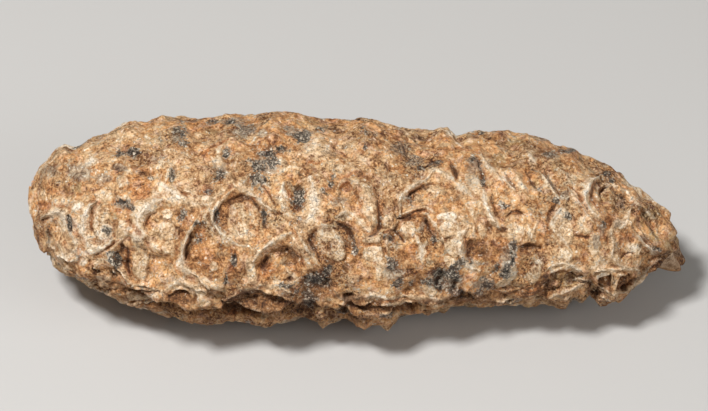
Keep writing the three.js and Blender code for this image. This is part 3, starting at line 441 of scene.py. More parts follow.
# name: (rise, half width, half height, how pale, its middle)
BOSSES = {
    "split inner": (0.4, 0.8, 1.3, 0.1, (322, 246)), "lobe heel": (0.4, 1.0, 0.9, 0.1, (409, 250)),
    "wing boss": (0.35, 1.8, 1.0, 0.1, (444, 194)), "cup boss": (0.45, 0.9, 1.2, 0.0, (609, 199)),
    "end bead": (0.45, 0.55, 0.5, 0.9, (84, 262)), "end bulge": (0.4, 1.0, 0.8, 0.7, (76, 205)),
    "end knob": (0.35, 0.9, 0.8, 0.4, (58, 201)), "second stone": (0.4, 1.3, 0.8, 0.4, (105, 195)),
    "top stone": (0.4, 0.9, 0.7, 0.6, (92, 162)), "top stone two": (0.35, 1.2, 1.0, 0.3, (60, 156)),
    "hollow floor": (0.4, 1.3, 1.4, 0.1, (210, 256)), "root bead": (0.4, 0.9, 0.7, 0.6, (218, 288)),
    "top left bump": (0.4, 1.5, 0.8, 0.3, (131, 130)), "top bump": (0.35, 1.4, 0.6, 0.3, (445, 134)),
    "top knob": (0.35, 1.6, 0.8, 0.3, (160, 165)), "saddle knob": (0.3, 2.0, 1.3, 0.4, (318, 152)),
    "hem stone": (0.4, 1.0, 0.8, 0.5, (352, 278)), "hem stone two": (0.4, 0.9, 0.7, 0.2, (392, 291)),
    "slope knob": (0.35, 1.3, 1.2, 0.1, (548, 160)), "slope knob two": (0.3, 1.2, 0.9, 0.3, (590, 168)),
}

# tint: [(half width, half height, how strong, its middle)]
PATCHES = {
    "cream": [
        (5.0, 4.0, 0.45, (70, 200)), (4.0, 3.0, 0.4, (110, 165)), (2.0, 1.6, 0.7, (196, 176)),
        (3.0, 2.0, 0.5, (160, 150)), (2.5, 2.0, 0.5, (545, 160)), (2.0, 3.0, 0.5, (352, 196)),
        (3.5, 1.8, 0.6, (50, 172)), (3.0, 1.4, 0.4, (86, 168)), (2.6, 2.0, 0.8, (212, 138)),
        (1.4, 4.0, 0.7, (389, 200)), (3.0, 1.6, 0.6, (518, 152)), (2.6, 1.4, 0.8, (112, 186)),
        (1.2, 3.0, 0.9, (72, 232)), (1.6, 3.0, 0.9, (88, 226)), (2.0, 1.2, 0.8, (66, 252)),
        (3.5, 1.4, 0.6, (120, 136)), (2.4, 1.6, 0.7, (146, 196)), (4.0, 2.5, 0.3, (66, 162)),
        (4.0, 2.0, 0.7, (104, 150)), (3.0, 1.6, 0.6, (92, 188)), (4.5, 2.2, 1.0, (176, 196)),
        (3.5, 2.0, 0.7, (184, 156)), (2.6, 2.6, 0.9, (236, 178)), (5.0, 3.2, 1.0, (326, 154)),
        (3.5, 2.6, 0.7, (372, 166)), (2.6, 2.0, 0.9, (296, 228)), (2.0, 4.0, 0.8, (312, 196)),
        (2.6, 2.4, 0.7, (452, 226)), (2.4, 2.6, 0.8, (474, 186)), (2.2, 2.6, 0.7, (510, 228)),
        (1.6, 3.0, 0.15, (519, 184)), (2.2, 3.0, 0.9, (564, 228)), (3.0, 2.0, 0.7, (600, 262)),
        (2.2, 1.6, 0.7, (560, 256)), (2.2, 1.6, 0.8, (622, 222)), (2.5, 2.5, 0.7, (244, 222)),
        (2.0, 2.0, 0.6, (168, 238)), (2.5, 1.5, 0.6, (66, 250)), (2.5, 3.0, 0.7, (108, 228)),
        (2.0, 2.2, 0.5, (140, 270)), (2.0, 1.4, 0.5, (144, 146)), (1.6, 3.0, 0.8, (366, 204)),
        (2.5, 2.0, 0.6, (378, 256)), (3.0, 1.6, 0.5, (430, 178)), (1.8, 2.6, 0.8, (586, 194)),
        (2.4, 1.6, 0.5, (588, 218)), (2.0, 1.4, 0.6, (632, 262)), (3.0, 1.4, 0.5, (86, 212)),
        (1.6, 3.0, 0.6, (250, 262)), (3.0, 1.2, 0.5, (204, 286)), (2.6, 3.4, 1.0, (62, 236)),
        (2.6, 3.6, 1.1, (98, 224)), (2.2, 1.6, 1.0, (136, 238)), (2.4, 2.0, 0.9, (150, 206)),
        (1.8, 2.0, 0.8, (604, 204)), (1.6, 1.0, 0.7, (60, 200)),
    ],
    "soot": [
        (0.5, 0.8, 0.8, (226, 153)), (0.5, 0.5, 0.9, (264, 181)), (0.6, 0.4, 0.8, (250, 160)),
        (0.5, 0.4, 0.9, (280, 147)), (0.7, 0.4, 0.8, (212, 121)), (0.4, 0.5, 0.8, (331, 186)),
        (0.5, 0.4, 0.7, (470, 262)), (0.5, 0.6, 0.9, (496, 268)), (1, 0.8, 0.85, (180, 133)),
        (1, 0.5, 0.85, (184, 143)), (0.7, 0.35, 0.6, (183, 121)), (1, 0.8, 0.85, (133, 153)),
        (0.7, 0.4, 1, (121, 154)), (0.9, 0.5, 0.7, (230, 121)), (1.2, 1, 0.85, (255, 178)),
        (0.9, 0.8, 0.85, (258, 167)), (1.6, 0.5, 0.85, (268, 153)), (0.9, 0.6, 0.85, (272, 160)),
        (0.9, 0.5, 0.6, (275, 165)), (0.5, 0.8, 0.6, (261, 191)), (1, 1.6, 0.85, (299, 199)),
        (1, 0.4, 0.5, (299, 220)), (1.2, 0.8, 0.85, (303, 137)), (0.9, 0.6, 0.5, (290, 128)),
        (1.2, 0.25, 0.8, (320, 130)), (0.6, 0.4, 0.5, (365, 130)), (0.3, 0.3, 1, (366, 146)),
        (0.6, 0.9, 1.0, (220, 176)), (0.8, 0.3, 0.9, (208, 192)), (0.5, 1.1, 0.8, (173, 174)),
        (1, 1.2, 0.85, (115, 259)), (0.45, 1.1, 0.85, (70, 225)), (0.5, 0.7, 0.7, (107, 230)),
        (0.6, 1, 0.8, (182, 214)), (0.9, 0.5, 0.8, (198, 223)), (0.6, 0.9, 0.5, (202, 238)),
        (0.6, 0.4, 0.6, (222, 245)), (0.5, 1.1, 0.8, (234, 262)), (0.5, 0.7, 0.7, (226, 280)),
        (0.5, 1, 0.7, (217, 216)), (0.5, 1.2, 0.6, (263, 218)), (1.2, 0.4, 0.85, (285, 288)),
        (0.8, 0.4, 0.8, (296, 293)), (1.5, 1.1, 0.85, (316, 279)), (1, 1.2, 0.85, (309, 298)),
        (0.8, 0.6, 0.85, (326, 272)), (0.5, 1, 0.6, (354, 250)), (0.4, 0.3, 0.9, (327, 261)),
        (0.7, 0.5, 0.6, (330, 268)), (0.9, 0.9, 0.85, (392, 265)), (0.9, 0.7, 0.85, (398, 283)),
        (0.5, 0.5, 0.8, (410, 284)), (1.1, 0.6, 0.85, (427, 283)), (1.1, 0.7, 0.85, (437, 272)),
        (0.8, 1.2, 0.85, (440, 285)), (0.9, 0.6, 0.85, (446, 275)), (0.8, 1.4, 0.85, (455, 273)),
        (0.8, 1, 0.85, (452, 290)), (0.8, 0.5, 0.9, (459, 293)), (0.8, 0.6, 0.85, (461, 263)),
        (0.4, 0.7, 0.8, (433, 239)), (0.4, 0.9, 0.7, (411, 201)), (0.8, 0.2, 0.8, (419, 168)),
        (0.9, 0.2, 0.8, (437, 162)), (0.9, 0.6, 0.6, (474, 160)), (0.4, 0.9, 0.9, (483, 183)),
        (0.5, 0.45, 1, (504, 206)), (0.5, 0.45, 1, (555, 201)), (0.5, 0.55, 1, (569, 216)),
        (0.9, 0.5, 0.6, (548, 154)), (0.5, 0.4, 0.5, (541, 190)), (1.5, 0.35, 0.6, (572, 150)),
        (0.9, 0.35, 0.6, (540, 140)), (0.6, 0.35, 1, (606, 174)), (0.5, 0.4, 0.8, (613, 181)),
        (0.5, 0.8, 0.6, (603, 224)), (0.6, 0.3, 1, (659, 251)), (0.6, 1.1, 0.85, (514, 243)),
        (0.7, 1.4, 0.85, (512, 258)), (0.7, 0.6, 1, (504, 275)), (0.6, 0.7, 0.8, (508, 268)),
        (1.2, 0.6, 0.85, (487, 286)), (0.6, 0.5, 0.9, (480, 292)), (1.3, 0.4, 0.85, (514, 303)),
        (0.4, 1.2, 0.6, (332, 178)), (0.6, 0.5, 0.6, (325, 192)), (0.9, 0.3, 0.9, (148, 302)),
        (1.4, 0.4, 0.85, (122, 203)), (0.7, 0.4, 1, (131, 208)), (0.5, 0.3, 0.5, (148, 178)),
        (0.5, 0.4, 0.6, (58, 264)), (0.4, 0.4, 0.6, (77, 258)), (0.9, 0.3, 0.7, (82, 278)),
        (1.2, 0.3, 0.8, (344, 313)), (1, 0.3, 0.8, (386, 316)), (0.5, 0.35, 0.7, (391, 241)),
        (0.3, 0.3, 0.8, (385, 237)), (0.4, 0.3, 0.6, (346, 146)), (0.9, 0.4, 0.6, (245, 126)),
        (0.7, 0.4, 0.6, (254, 146)),
    ],
    "rust": [
        (2.4, 1.2, 0.6, (420, 251)), (1.6, 0.9, 0.7, (430, 225)), (1.4, 0.7, 0.7, (412, 192)),
        (1.1, 0.6, 0.9, (46, 204)), (0.8, 0.7, 0.9, (51, 189)), (0.7, 0.6, 0.7, (40, 206)),
        (0.8, 0.5, 0.5, (92, 151)), (0.9, 0.6, 0.5, (64, 160)), (2.0, 1.8, 0.7, (138, 187)),
        (0.4, 1.3, 0.8, (149, 220)), (0.8, 0.5, 1.0, (200, 231)), (2.0, 2.0, 0.55, (209, 259)),
        (1.2, 0.8, 0.6, (168, 262)), (0.5, 1.5, 0.9, (130, 260)), (0.9, 1.5, 0.6, (155, 264)),
        (0.9, 2.0, 0.5, (223, 220)), (0.5, 1.3, 0.6, (257, 232)), (1.5, 1.5, 0.7, (268, 268)),
        (1.0, 1.5, 0.7, (296, 263)), (0.5, 1.3, 0.8, (313, 241)), (0.7, 1.0, 0.6, (324, 250)),
        (0.8, 0.7, 1.0, (344, 185)), (0.6, 1.3, 0.5, (356, 196)), (1.1, 1.0, 0.7, (412, 250)),
        (0.5, 1.5, 0.7, (432, 226)), (1.2, 2.6, 0.6, (545, 224)), (1.8, 1.2, 0.5, (505, 244)),
        (0.9, 0.6, 0.9, (626, 236)), (0.8, 0.8, 0.9, (648, 262)), (0.6, 0.6, 0.9, (640, 214)),
        (0.7, 0.6, 0.9, (654, 224)), (1.0, 0.3, 0.9, (368, 245)), (0.8, 0.3, 0.9, (182, 194)),
        (0.6, 1.0, 0.7, (288, 195)), (1.5, 0.2, 0.7, (314, 162)), (1.2, 0.5, 0.8, (475, 148)),
        (0.8, 1.5, 0.5, (501, 188)), (0.6, 1.3, 0.7, (584, 262)), (0.5, 0.6, 1.0, (445, 284)),
        (1.0, 1.2, 0.8, (472, 284)), (0.9, 0.9, 0.8, (520, 270)), (0.5, 1.5, 0.6, (182, 230)),
        (0.9, 0.4, 0.9, (118, 211)), (1.6, 0.3, 0.7, (140, 169)), (0.4, 1.6, 0.5, (381, 205)),
        (0.6, 0.3, 0.8, (106, 250)), (1.2, 0.4, 0.7, (90, 276)), (1.2, 0.6, 0.5, (305, 170)),
        (1.2, 0.7, 0.6, (430, 272)), (1.3, 0.6, 0.5, (360, 284)), (0.3, 1.2, 0.7, (93, 220)),
        (1.1, 0.5, 0.9, (528, 248)), (0.4, 1.0, 0.8, (472, 250)), (1.4, 0.4, 0.8, (414, 214)),
        (0.8, 0.3, 0.9, (628, 255)), (0.7, 0.5, 0.7, (604, 238)), (1.8, 0.5, 0.8, (150, 305)),
        (2.0, 0.5, 0.8, (386, 303)), (0.7, 0.7, 0.7, (205, 153)), (0.6, 0.5, 0.6, (560, 218)),
        (0.5, 0.7, 0.7, (79, 250)), (0.7, 0.5, 0.7, (447, 140)), (0.8, 0.5, 0.6, (498, 290)),
    ],
    "chalk": [
        (0.8, 1.0, 0.5, (64, 226)), (1.0, 0.8, 0.5, (70, 252)), (0.8, 1.6, 0.5, (87, 226)),
        (0.9, 0.7, 0.5, (140, 212)), (0.5, 0.3, 1.0, (119, 199)), (0.3, 0.4, 1.1, (109, 258)),
        (0.4, 0.4, 1.2, (135, 157)), (0.3, 0.9, 1.1, (75, 222)), (0.6, 0.6, 0.7, (160, 163)),
        (1.7, 1.2, 0.5, (162, 194)), (1.0, 0.6, 0.4, (188, 156)), (0.8, 0.4, 0.7, (190, 191)),
        (0.6, 0.6, 0.9, (181, 262)), (0.6, 0.4, 0.5, (211, 244)), (0.6, 1.4, 0.5, (283, 195)),
        (0.7, 1.7, 0.6, (312, 200)), (2.0, 1.2, 0.45, (318, 150)), (0.8, 0.6, 0.6, (341, 172)),
        (0.6, 1.7, 0.3, (367, 206)), (1.0, 1.0, 0.4, (382, 268)), (0.5, 1.2, 0.8, (421, 253)),
        (0.6, 0.4, 0.9, (449, 178)), (0.8, 0.35, 0.8, (434, 170)), (0.4, 0.9, 1.0, (474, 232)),
        (0.6, 1.7, 0.3, (519, 185)), (0.4, 1.2, 0.8, (532, 158)), (1.5, 1.0, 0.4, (560, 256)),
        (0.9, 0.5, 0.9, (620, 222)), (0.6, 0.6, 0.6, (632, 248)), (0.5, 0.3, 1.0, (656, 253)),
        (0.45, 0.4, 1.0, (450, 132)), (0.35, 0.3, 1.0, (147, 138)), (0.5, 0.35, 1.0, (88, 174)),
        (1.2, 0.7, 0.5, (105, 195)), (1.0, 0.5, 0.6, (76, 206)), (0.8, 0.6, 0.6, (92, 162)),
        (0.6, 0.4, 0.8, (345, 299)), (0.8, 0.3, 0.9, (386, 297)), (0.8, 0.3, 0.9, (386, 314)),
        (0.7, 0.3, 0.9, (340, 312)), (0.7, 0.5, 0.9, (97, 262)), (0.4, 0.2, 1.0, (186, 135)),
        (0.8, 0.3, 0.8, (118, 138)), (0.3, 0.7, 1.0, (74, 222)), (1.0, 0.3, 1.0, (264, 184)),
        (1.5, 0.8, 0.4, (360, 160)), (1.0, 0.8, 0.5, (600, 262)), (0.6, 0.4, 0.8, (42, 194)),
        (1.6, 0.5, 0.5, (590, 268)), (0.7, 0.6, 0.7, (48, 174)), (0.5, 0.3, 0.9, (88, 254)),
        (0.5, 0.4, 0.7, (108, 225)), (0.35, 0.3, 1.0, (540, 262)), (0.3, 0.3, 1.0, (505, 178)),
        (0.6, 0.4, 0.7, (598, 268)), (0.4, 0.4, 0.9, (470, 266)), (1.0, 0.3, 0.7, (408, 131)),
        (0.6, 0.3, 0.8, (200, 137)), (0.5, 0.4, 0.8, (460, 216)), (0.5, 0.3, 0.8, (238, 297)),
        (0.4, 0.35, 0.9, (126, 199)), (1.0, 0.8, 0.6, (66, 256)), (0.9, 2.0, 0.5, (86, 228)),
        (1.2, 1.2, 0.5, (104, 238)), (0.7, 0.5, 0.8, (56, 212)), (0.9, 0.9, 0.6, (138, 236)),
        (0.7, 0.9, 0.6, (146, 208)), (0.5, 0.5, 0.8, (84, 262)), (0.4, 0.9, 0.8, (62, 216)),
        (0.3, 0.5, 1.2, (107, 256)), (0.3, 0.3, 1.2, (112, 265)), (0.5, 0.4, 0.7, (98, 196)),
    ],
    "crackle": [
        (1.8, 1.3, 0.7, (400, 148)), (1.5, 1.0, 0.8, (414, 160)), (1.4, 0.5, 0.8, (434, 163)),
        (1.5, 0.9, 0.9, (300, 134)), (1.6, 0.7, 0.9, (276, 148)), (1.2, 1.0, 0.9, (260, 166)),
        (1.4, 0.6, 0.6, (332, 152)), (1.2, 0.8, 0.9, (250, 130)), (1.8, 0.6, 0.9, (232, 121)),
        (0.9, 1.0, 0.7, (182, 134)), (1.1, 0.7, 0.7, (126, 152)), (1.2, 0.8, 0.7, (474, 162)),
        (1.1, 0.7, 0.6, (548, 152)), (1.6, 0.5, 0.7, (566, 150)), (1.0, 1.6, 0.9, (299, 198)),
        (1.8, 1.0, 0.8, (322, 282)), (1.4, 1.8, 0.7, (450, 278)), (1.2, 1.0, 0.7, (488, 280)),
        (0.7, 1.6, 0.7, (513, 256)), (0.8, 1.2, 0.6, (108, 232)), (1.4, 0.5, 0.6, (372, 134)),
        (0.8, 1.4, 0.6, (264, 220)), (0.7, 1.6, 0.7, (622, 200)), (0.6, 1.2, 0.6, (602, 232)),
    ],
    "ash": [
        (2.6, 1.8, 0.8, (446, 280)), (1.3, 2.4, 0.8, (509, 262)), (1.8, 1.2, 0.7, (394, 273)),
        (2.4, 1.6, 0.7, (268, 164)), (2.0, 1.2, 0.5, (302, 134)), (0.7, 1.0, 0.9, (226, 153)),
        (2.0, 0.8, 0.8, (484, 284)), (1.6, 1.2, 0.6, (474, 166)), (1.4, 0.7, 0.8, (124, 205)),
        (1.6, 1.0, 0.6, (50, 170)), (2.0, 1.4, 0.8, (80, 172)), (1.3, 0.8, 0.7, (104, 178)),
        (0.8, 0.8, 0.9, (118, 262)), (1.4, 0.8, 0.6, (178, 138)), (0.9, 1.0, 0.7, (222, 172)),
        (1.0, 0.6, 0.9, (120, 168)), (0.9, 0.5, 0.5, (55, 220)), (2.0, 1.1, 0.7, (244, 130)),
        (0.7, 0.8, 0.9, (263, 132)), (1.1, 0.9, 0.7, (290, 130)), (0.5, 1.1, 0.7, (183, 213)),
        (0.8, 0.6, 0.7, (343, 201)), (0.6, 0.8, 0.6, (350, 236)), (0.6, 1.3, 0.8, (596, 243)),
        (0.5, 1.4, 0.7, (264, 219)), (0.7, 0.8, 0.6, (336, 203)), (0.5, 0.9, 0.8, (422, 227)),
        (0.9, 0.7, 0.5, (396, 245)), (1.6, 0.4, 0.7, (570, 150)), (0.7, 0.8, 0.6, (108, 232)),
        (1.3, 0.9, 0.5, (318, 282)), (0.8, 0.5, 0.5, (68, 203)), (1.2, 0.7, 0.8, (550, 155)),
        (1.2, 1.4, 0.5, (472, 180)), (0.5, 1.7, 0.5, (48, 236)), (0.9, 0.5, 0.8, (564, 195)),
        (0.6, 1.6, 0.7, (514, 256)), (0.9, 0.5, 0.6, (418, 176)), (0.6, 1.0, 0.7, (602, 226)),
        (0.5, 0.8, 0.6, (217, 214)), (1.0, 0.8, 0.4, (40, 176)), (0.7, 0.8, 0.5, (98, 182)),
        (1.2, 0.5, 0.6, (476, 264)), (1.0, 0.5, 0.6, (196, 240)),
    ],
    "olive": [
        (1.0, 2.0, 0.9, (672, 250)), (1.4, 1.4, 0.8, (652, 212)), (0.4, 0.7, 0.9, (113, 216)),
        (0.7, 0.8, 0.9, (226, 153)), (1.1, 1.1, 0.8, (499, 159)), (0.5, 1.2, 0.8, (455, 171)),
        (0.9, 0.9, 0.7, (535, 186)), (1.1, 1.3, 0.5, (607, 199)), (2.1, 1.2, 0.9, (563, 281)),
        (1.0, 0.5, 0.8, (204, 301)), (0.9, 1.1, 0.8, (654, 238)), (0.6, 1.0, 0.8, (642, 225)),
        (0.4, 1.7, 0.7, (487, 210)), (1.3, 0.8, 0.7, (310, 120)), (0.8, 1.2, 0.5, (508, 280)),
        (0.8, 0.6, 0.6, (632, 262)), (0.6, 0.8, 0.6, (172, 180)), (1.0, 0.8, 0.4, (480, 262)),
        (1.6, 0.8, 0.6, (418, 137)), (0.8, 0.7, 0.6, (370, 254)), (0.5, 1.3, 0.7, (78, 186)),
        (2.4, 0.8, 0.6, (516, 142)), (1.5, 1.0, 0.5, (70, 190)), (0.8, 1.6, 0.6, (676, 256)),
        (2.0, 1.4, 0.4, (466, 146)), (0.8, 0.6, 0.6, (500, 230)), (1.4, 0.8, 0.5, (150, 136)),
        (1.6, 0.6, 0.5, (210, 132)), (1.2, 0.9, 0.5, (556, 166)),
    ],
    # dark brown patches: partly the stone's own brown, and partly painted shade under the ledges, in recesses
    # and at the tip
    "umber_and_shade": [
        (6.0, 1.3, 1.6, (268, 304)), (2.4, 2.0, 1.1, (316, 286)), (1.6, 2.0, 1.2, (664, 263)),
        (2.4, 0.7, 1.2, (180, 298)), (4.0, 0.6, 1.3, (378, 304)), (2.4, 0.5, 1.2, (350, 297)),
        (3.6, 0.5, 1.1, (470, 301)), (1.8, 0.6, 0.8, (140, 292)), (1.1, 0.5, 1.0, (345, 227)),
        (1.0, 0.6, 0.8, (389, 237)), (1.7, 0.6, 1.0, (280, 249)), (0.5, 0.9, 0.8, (150, 272)),
        (1.2, 0.7, 1.0, (182, 294)), (0.6, 0.6, 1.0, (97, 270)), (0.4, 0.6, 1.0, (114, 274)),
        (0.7, 0.7, 1.0, (349, 297)), (0.9, 1.1, 0.8, (470, 251)), (1.0, 1.0, 0.7, (484, 252)),
        (0.4, 0.8, 1.0, (490, 230)), (0.7, 0.4, 1.0, (502, 230)), (1.2, 0.5, 0.9, (530, 247)),
        (0.6, 1.4, 1.0, (546, 282)), (1.0, 1.0, 1.0, (594, 293)), (0.8, 0.8, 1.0, (602, 279)),
        (0.8, 1.0, 1.0, (620, 280)), (0.5, 1.5, 0.5, (622, 200)), (0.4, 0.8, 1.0, (425, 219)),
        (1.3, 0.3, 0.9, (408, 216)), (0.3, 1.8, 0.6, (379, 212)), (0.8, 0.8, 0.6, (66, 190)),
        (0.4, 1.5, 0.8, (127, 258)), (0.5, 0.7, 1.0, (123, 249)), (1.3, 0.3, 1.0, (247, 199)),
        (1.8, 0.6, 0.9, (528, 293)), (1.1, 0.4, 1.0, (570, 298)), (2.5, 0.7, 0.7, (160, 308)),
        (2.5, 0.7, 1.0, (240, 300)), (4.0, 0.8, 0.7, (385, 307)), (3.0, 0.8, 0.9, (350, 320)),
        (0.4, 0.8, 0.7, (430, 230)), (0.3, 1.2, 0.8, (93, 226)), (0.3, 0.9, 0.9, (48, 232)),
        (1.6, 0.3, 0.7, (266, 154)), (0.6, 0.6, 0.6, (337, 132)), (0.7, 0.35, 0.9, (516, 213)),
        (1.2, 0.6, 0.7, (328, 265)), (0.8, 0.6, 0.7, (352, 244)), (1.0, 0.5, 0.8, (212, 293)),
        (0.9, 0.4, 0.6, (222, 140)), (0.7, 1.0, 0.5, (345, 268)), (0.7, 0.6, 0.8, (634, 281)),
        (0.8, 0.4, 0.8, (220, 245)), (0.4, 1.0, 0.8, (314, 246)), (0.5, 0.5, 0.8, (541, 304)),
        (1.0, 0.3, 0.8, (396, 232)), (0.5, 1.4, 0.6, (456, 170)), (1.5, 0.5, 0.7, (480, 296)),
        (0.5, 1.4, 0.5, (482, 174)), (2.0, 0.8, 0.6, (200, 312)), (1.2, 0.6, 0.7, (502, 294)),
    ],
}

# Where the cone's outline runs in the photograph, from the broad end to the narrow one: points of
# a silhouette that was measured by threshold, then thinned.
TOP_EDGE = np.array([
    (28, 196), (29, 182), (32, 176), (38, 168), (46, 159), (56, 149), (65, 144), (74, 147), (80, 145),
    (88, 139), (95, 136), (107, 133), (119, 127), (128, 121), (137, 120), (146, 122), (155, 118),
    (163, 115), (176, 117), (200, 118), (215, 117), (224, 114), (236, 113), (245, 115), (254, 114),
    (278, 111), (293, 112), (302, 115), (320, 118), (340, 119), (365, 119), (377, 121), (389, 125),
    (404, 128), (425, 129), (434, 130), (441, 127), (447, 128), (452, 131), (456, 136), (466, 133),
    (476, 131), (488, 132), (498, 130), (509, 130), (515, 132), (526, 133), (533, 136), (545, 138),
    (560, 146), (571, 147), (584, 155), (596, 159), (611, 165), (623, 177), (637, 187), (650, 197),
    (660, 202), (668, 209), (674, 222), (680, 246), (683, 262),
])
FOOT_EDGE = np.array([
    (28, 206), (29, 222), (35, 239), (44, 255), (56, 268), (68, 277), (80, 283), (95, 291), (110, 296),
    (122, 302), (140, 309), (152, 312), (176, 318), (197, 323), (212, 325), (221, 324), (230, 321),
    (242, 323), (266, 327), (281, 323), (296, 320), (305, 316), (314, 320), (322, 328), (334, 324),
    (347, 318), (356, 326), (364, 330), (376, 326), (388, 330), (398, 318), (410, 316), (416, 314),
    (431, 315), (452, 308), (470, 305), (482, 308), (500, 306), (515, 305), (530, 306), (542, 302),
    (551, 307), (566, 308), (573, 299), (584, 303), (590, 296), (599, 306), (611, 304), (620, 302),
    (629, 293), (641, 283), (650, 272), (659, 261), (664, 261), (668, 264), (672, 268), (677, 272),
    (682, 269),
])

# ---- The camera, at the photograph's angle ---------------------------------------------------

PHOTO_WIDTH, PHOTO_HEIGHT = 708, 411
PIXELS_PER_MM = 8.2
VIEW_RISE = math.radians(45)
LENS, SENSOR = 200.0, 36.0
AIM = np.array([39.8, 1.17, 1.17])  # the point of the cone at the middle of the picture
VIEW_DISTANCE = PHOTO_WIDTH / PIXELS_PER_MM * LENS / SENSOR
VIEW_FORWARD = np.array([0, math.cos(VIEW_RISE), -math.sin(VIEW_RISE)])
VIEW_UP = np.array([0, math.sin(VIEW_RISE), math.cos(VIEW_RISE)])
OUTLINE_STEP = 3.0  # pixels between the places that the outline is fitted at
OUTLINE_LIMIT = 1.8  # the most that the fit moves a point, in millimetres
OUTLINE_END = (640, 662)  # pixels over which the fit fades out, toward the broken tip


def photo_pixel(points):
    """Where points of the cone lie in the photograph."""
    offset = points - AIM
    depth = VIEW_DISTANCE + offset @ VIEW_FORWARD
    zoom = PIXELS_PER_MM * VIEW_DISTANCE / depth
    return PHOTO_WIDTH / 2 + offset[:, 0] * zoom, PHOTO_HEIGHT / 2 - (offset @ VIEW_UP) * zoom


def fit_outline(points):
    """The points, moved up or down the picture until their outline is the photographed one."""
    x, y = photo_pixel(points)
    column = ((x - x.min()) / OUTLINE_STEP).astype(int)
    count = column.max() + 1
    top, foot = np.full(count, np.inf), np.full(count, -np.inf)
    np.minimum.at(top, column, y)
    np.maximum.at(foot, column, y)
    middles = x.min() + (np.arange(count) + 0.5) * OUTLINE_STEP
    top, foot = np.interp(x, middles, top), np.interp(x, middles, foot)
    share = np.clip((y - top) / (foot - top), 0, 1)
    up = (top - np.interp(x, *TOP_EDGE.T)) * (1 - share) ** 2
    down = (np.interp(x, *FOOT_EDGE.T) - foot) * share ** 2
    shift = np.clip((up - down) / PIXELS_PER_MM, -OUTLINE_LIMIT, OUTLINE_LIMIT)
    return points + VIEW_UP * (shift * (1 - smooth(x, *OUTLINE_END)))[:, None]


def make_camera():
    data = bpy.data.cameras.new("camera")
    data.lens, data.sensor_width = LENS, SENSOR
    data.clip_start, data.clip_end = 0.01, 10
    camera = bpy.data.objects.new("camera", data)
    camera.location = Vector((AIM - ORIGIN - VIEW_FORWARD * VIEW_DISTANCE) * MM)
    camera.rotation_euler = (math.pi / 2 - VIEW_RISE, 0, 0)
    bpy.context.scene.collection.objects.link(camera)
    bpy.context.scene.camera = camera


# ---- Small numeric tools ---------------------------------------------------------------------

def smooth(value, low, high):
    """0 below low, 1 above high, and a soft step between them."""
    share = np.clip((value - low) / (high - low), 0, 1)
    return share * share * (3 - 2 * share)


CELL_FACTORS, SEED_FACTOR = (73856093, 19349663, 83492791), 668265263
MIX_FACTORS = (1274126177, 2246822519)


def lattice_random(cells, seed):
    """A random number from 0 to 1 for each whole-numbered cell, the same in every run."""
    x, y, z = (cells[..., axis].astype(np.int64) * factor for axis, factor in enumerate(CELL_FACTORS))
    mixed = x ^ y ^ z ^ (seed * SEED_FACTOR)
    mixed = (mixed ^ (mixed >> 13)) * MIX_FACTORS[0] & 0xFFFFFFFF
    mixed = (mixed ^ (mixed >> 15)) * MIX_FACTORS[1] & 0xFFFFFFFF
    return ((mixed ^ (mixed >> 16)) & 0xFFFFFF) / 0xFFFFFF


def noise(points, size, seed):
    """Soft random bumps of about the given size, from -1 to 1."""
    scaled = points / size
    cell = np.floor(scaled).astype(np.int64)
    share = scaled - cell
    share = share * share * share * (share * (share * 6 - 15) + 10)
    total = np.zeros(len(points))
    for corner in range(8):
        step = np.array([corner & 1, corner >> 1 & 1, corner >> 2 & 1])
        weight = np.prod(np.where(step, share, 1 - share), axis=1)
        total += weight * lattice_random(cell + step, seed)
    return total * 2 - 1


def rough(points, size, octaves, seed, falloff=0.55):
    """Noise of several sizes, each half the last."""
    total, height, reach = np.zeros(len(points)), 1.0, 0.0
    for octave in range(octaves):
        total += height * noise(points, size / 2 ** octave, seed + octave)
        reach += height
        height *= falloff
    return total / reach


def grains(points, size, seed):
    """How far each point is from the nearest of scattered grains, in sizes, and a number of it."""
    scaled = points / size
    cell = np.floor(scaled).astype(np.int64)
    nearest = np.full(len(points), 9.0)
    number = np.zeros(len(points))
    for step in np.ndindex(3, 3, 3):
        home = cell + np.array(step) - 1
        spot = home + np.stack([lattice_random(home, seed + axis) for axis in range(3)], axis=1)
        distance = np.linalg.norm(scaled - spot, axis=1)
        closer = distance < nearest
        nearest = np.where(closer, distance, nearest)
        number = np.where(closer, lattice_random(home, seed + 7), number)
    return nearest, number


# ---- The skin under the relief ---------------------------------------------------------------

def station_values(along):
    """The axis's sideways place and rise and the half width, smoothly through the stations."""
    along = np.asarray(along, float)
    places = STATIONS[:, 0]
    index = np.clip(np.searchsorted(places, along, side="left") - 1, 0, len(places) - 2)
    span = places[index + 1] - places[index]
    share = np.clip((along - places[index]) / span, 0, 1)
    rise = share * share * (3 - 2 * share)
    leave = share * (1 - share) ** 2 * span
    arrive = share ** 2 * (share - 1) * span
    values = []
    for column in (1, 2, 3):
        level = STATIONS[:, column]
        before = np.r_[level[0], level[:-1]], np.r_[places[0], places[:-1]]
        after = np.r_[level[1:], level[-1]], np.r_[places[1:], places[-1]]
        slope = (after[0] - before[0]) / (after[1] - before[1])
        values.append(level[index] * (1 - rise) + level[index + 1] * rise
                      + leave * slope[index] + arrive * slope[index + 1])
    return values


def end_rounding(along):
    broad = np.clip((along - SKIN_START) / BROAD_ROUNDING, 0, 1)
    narrow = np.clip((SKIN_END - along) / NARROW_ROUNDING, 0, 1)
    return np.sqrt((1 - (1 - broad) ** 2) * (1 - (1 - narrow) ** 2))


def skin_points(along, turn):
    along, turn = np.broadcast_arrays(np.asarray(along, float), np.radians(turn))
    sideways, rise, half_width = station_values(along)
    half_width = half_width * end_rounding(along)
    return np.stack([along, sideways - half_width * np.cos(turn),
                     rise + half_width * FLATNESS * np.sin(turn)], axis=-1)


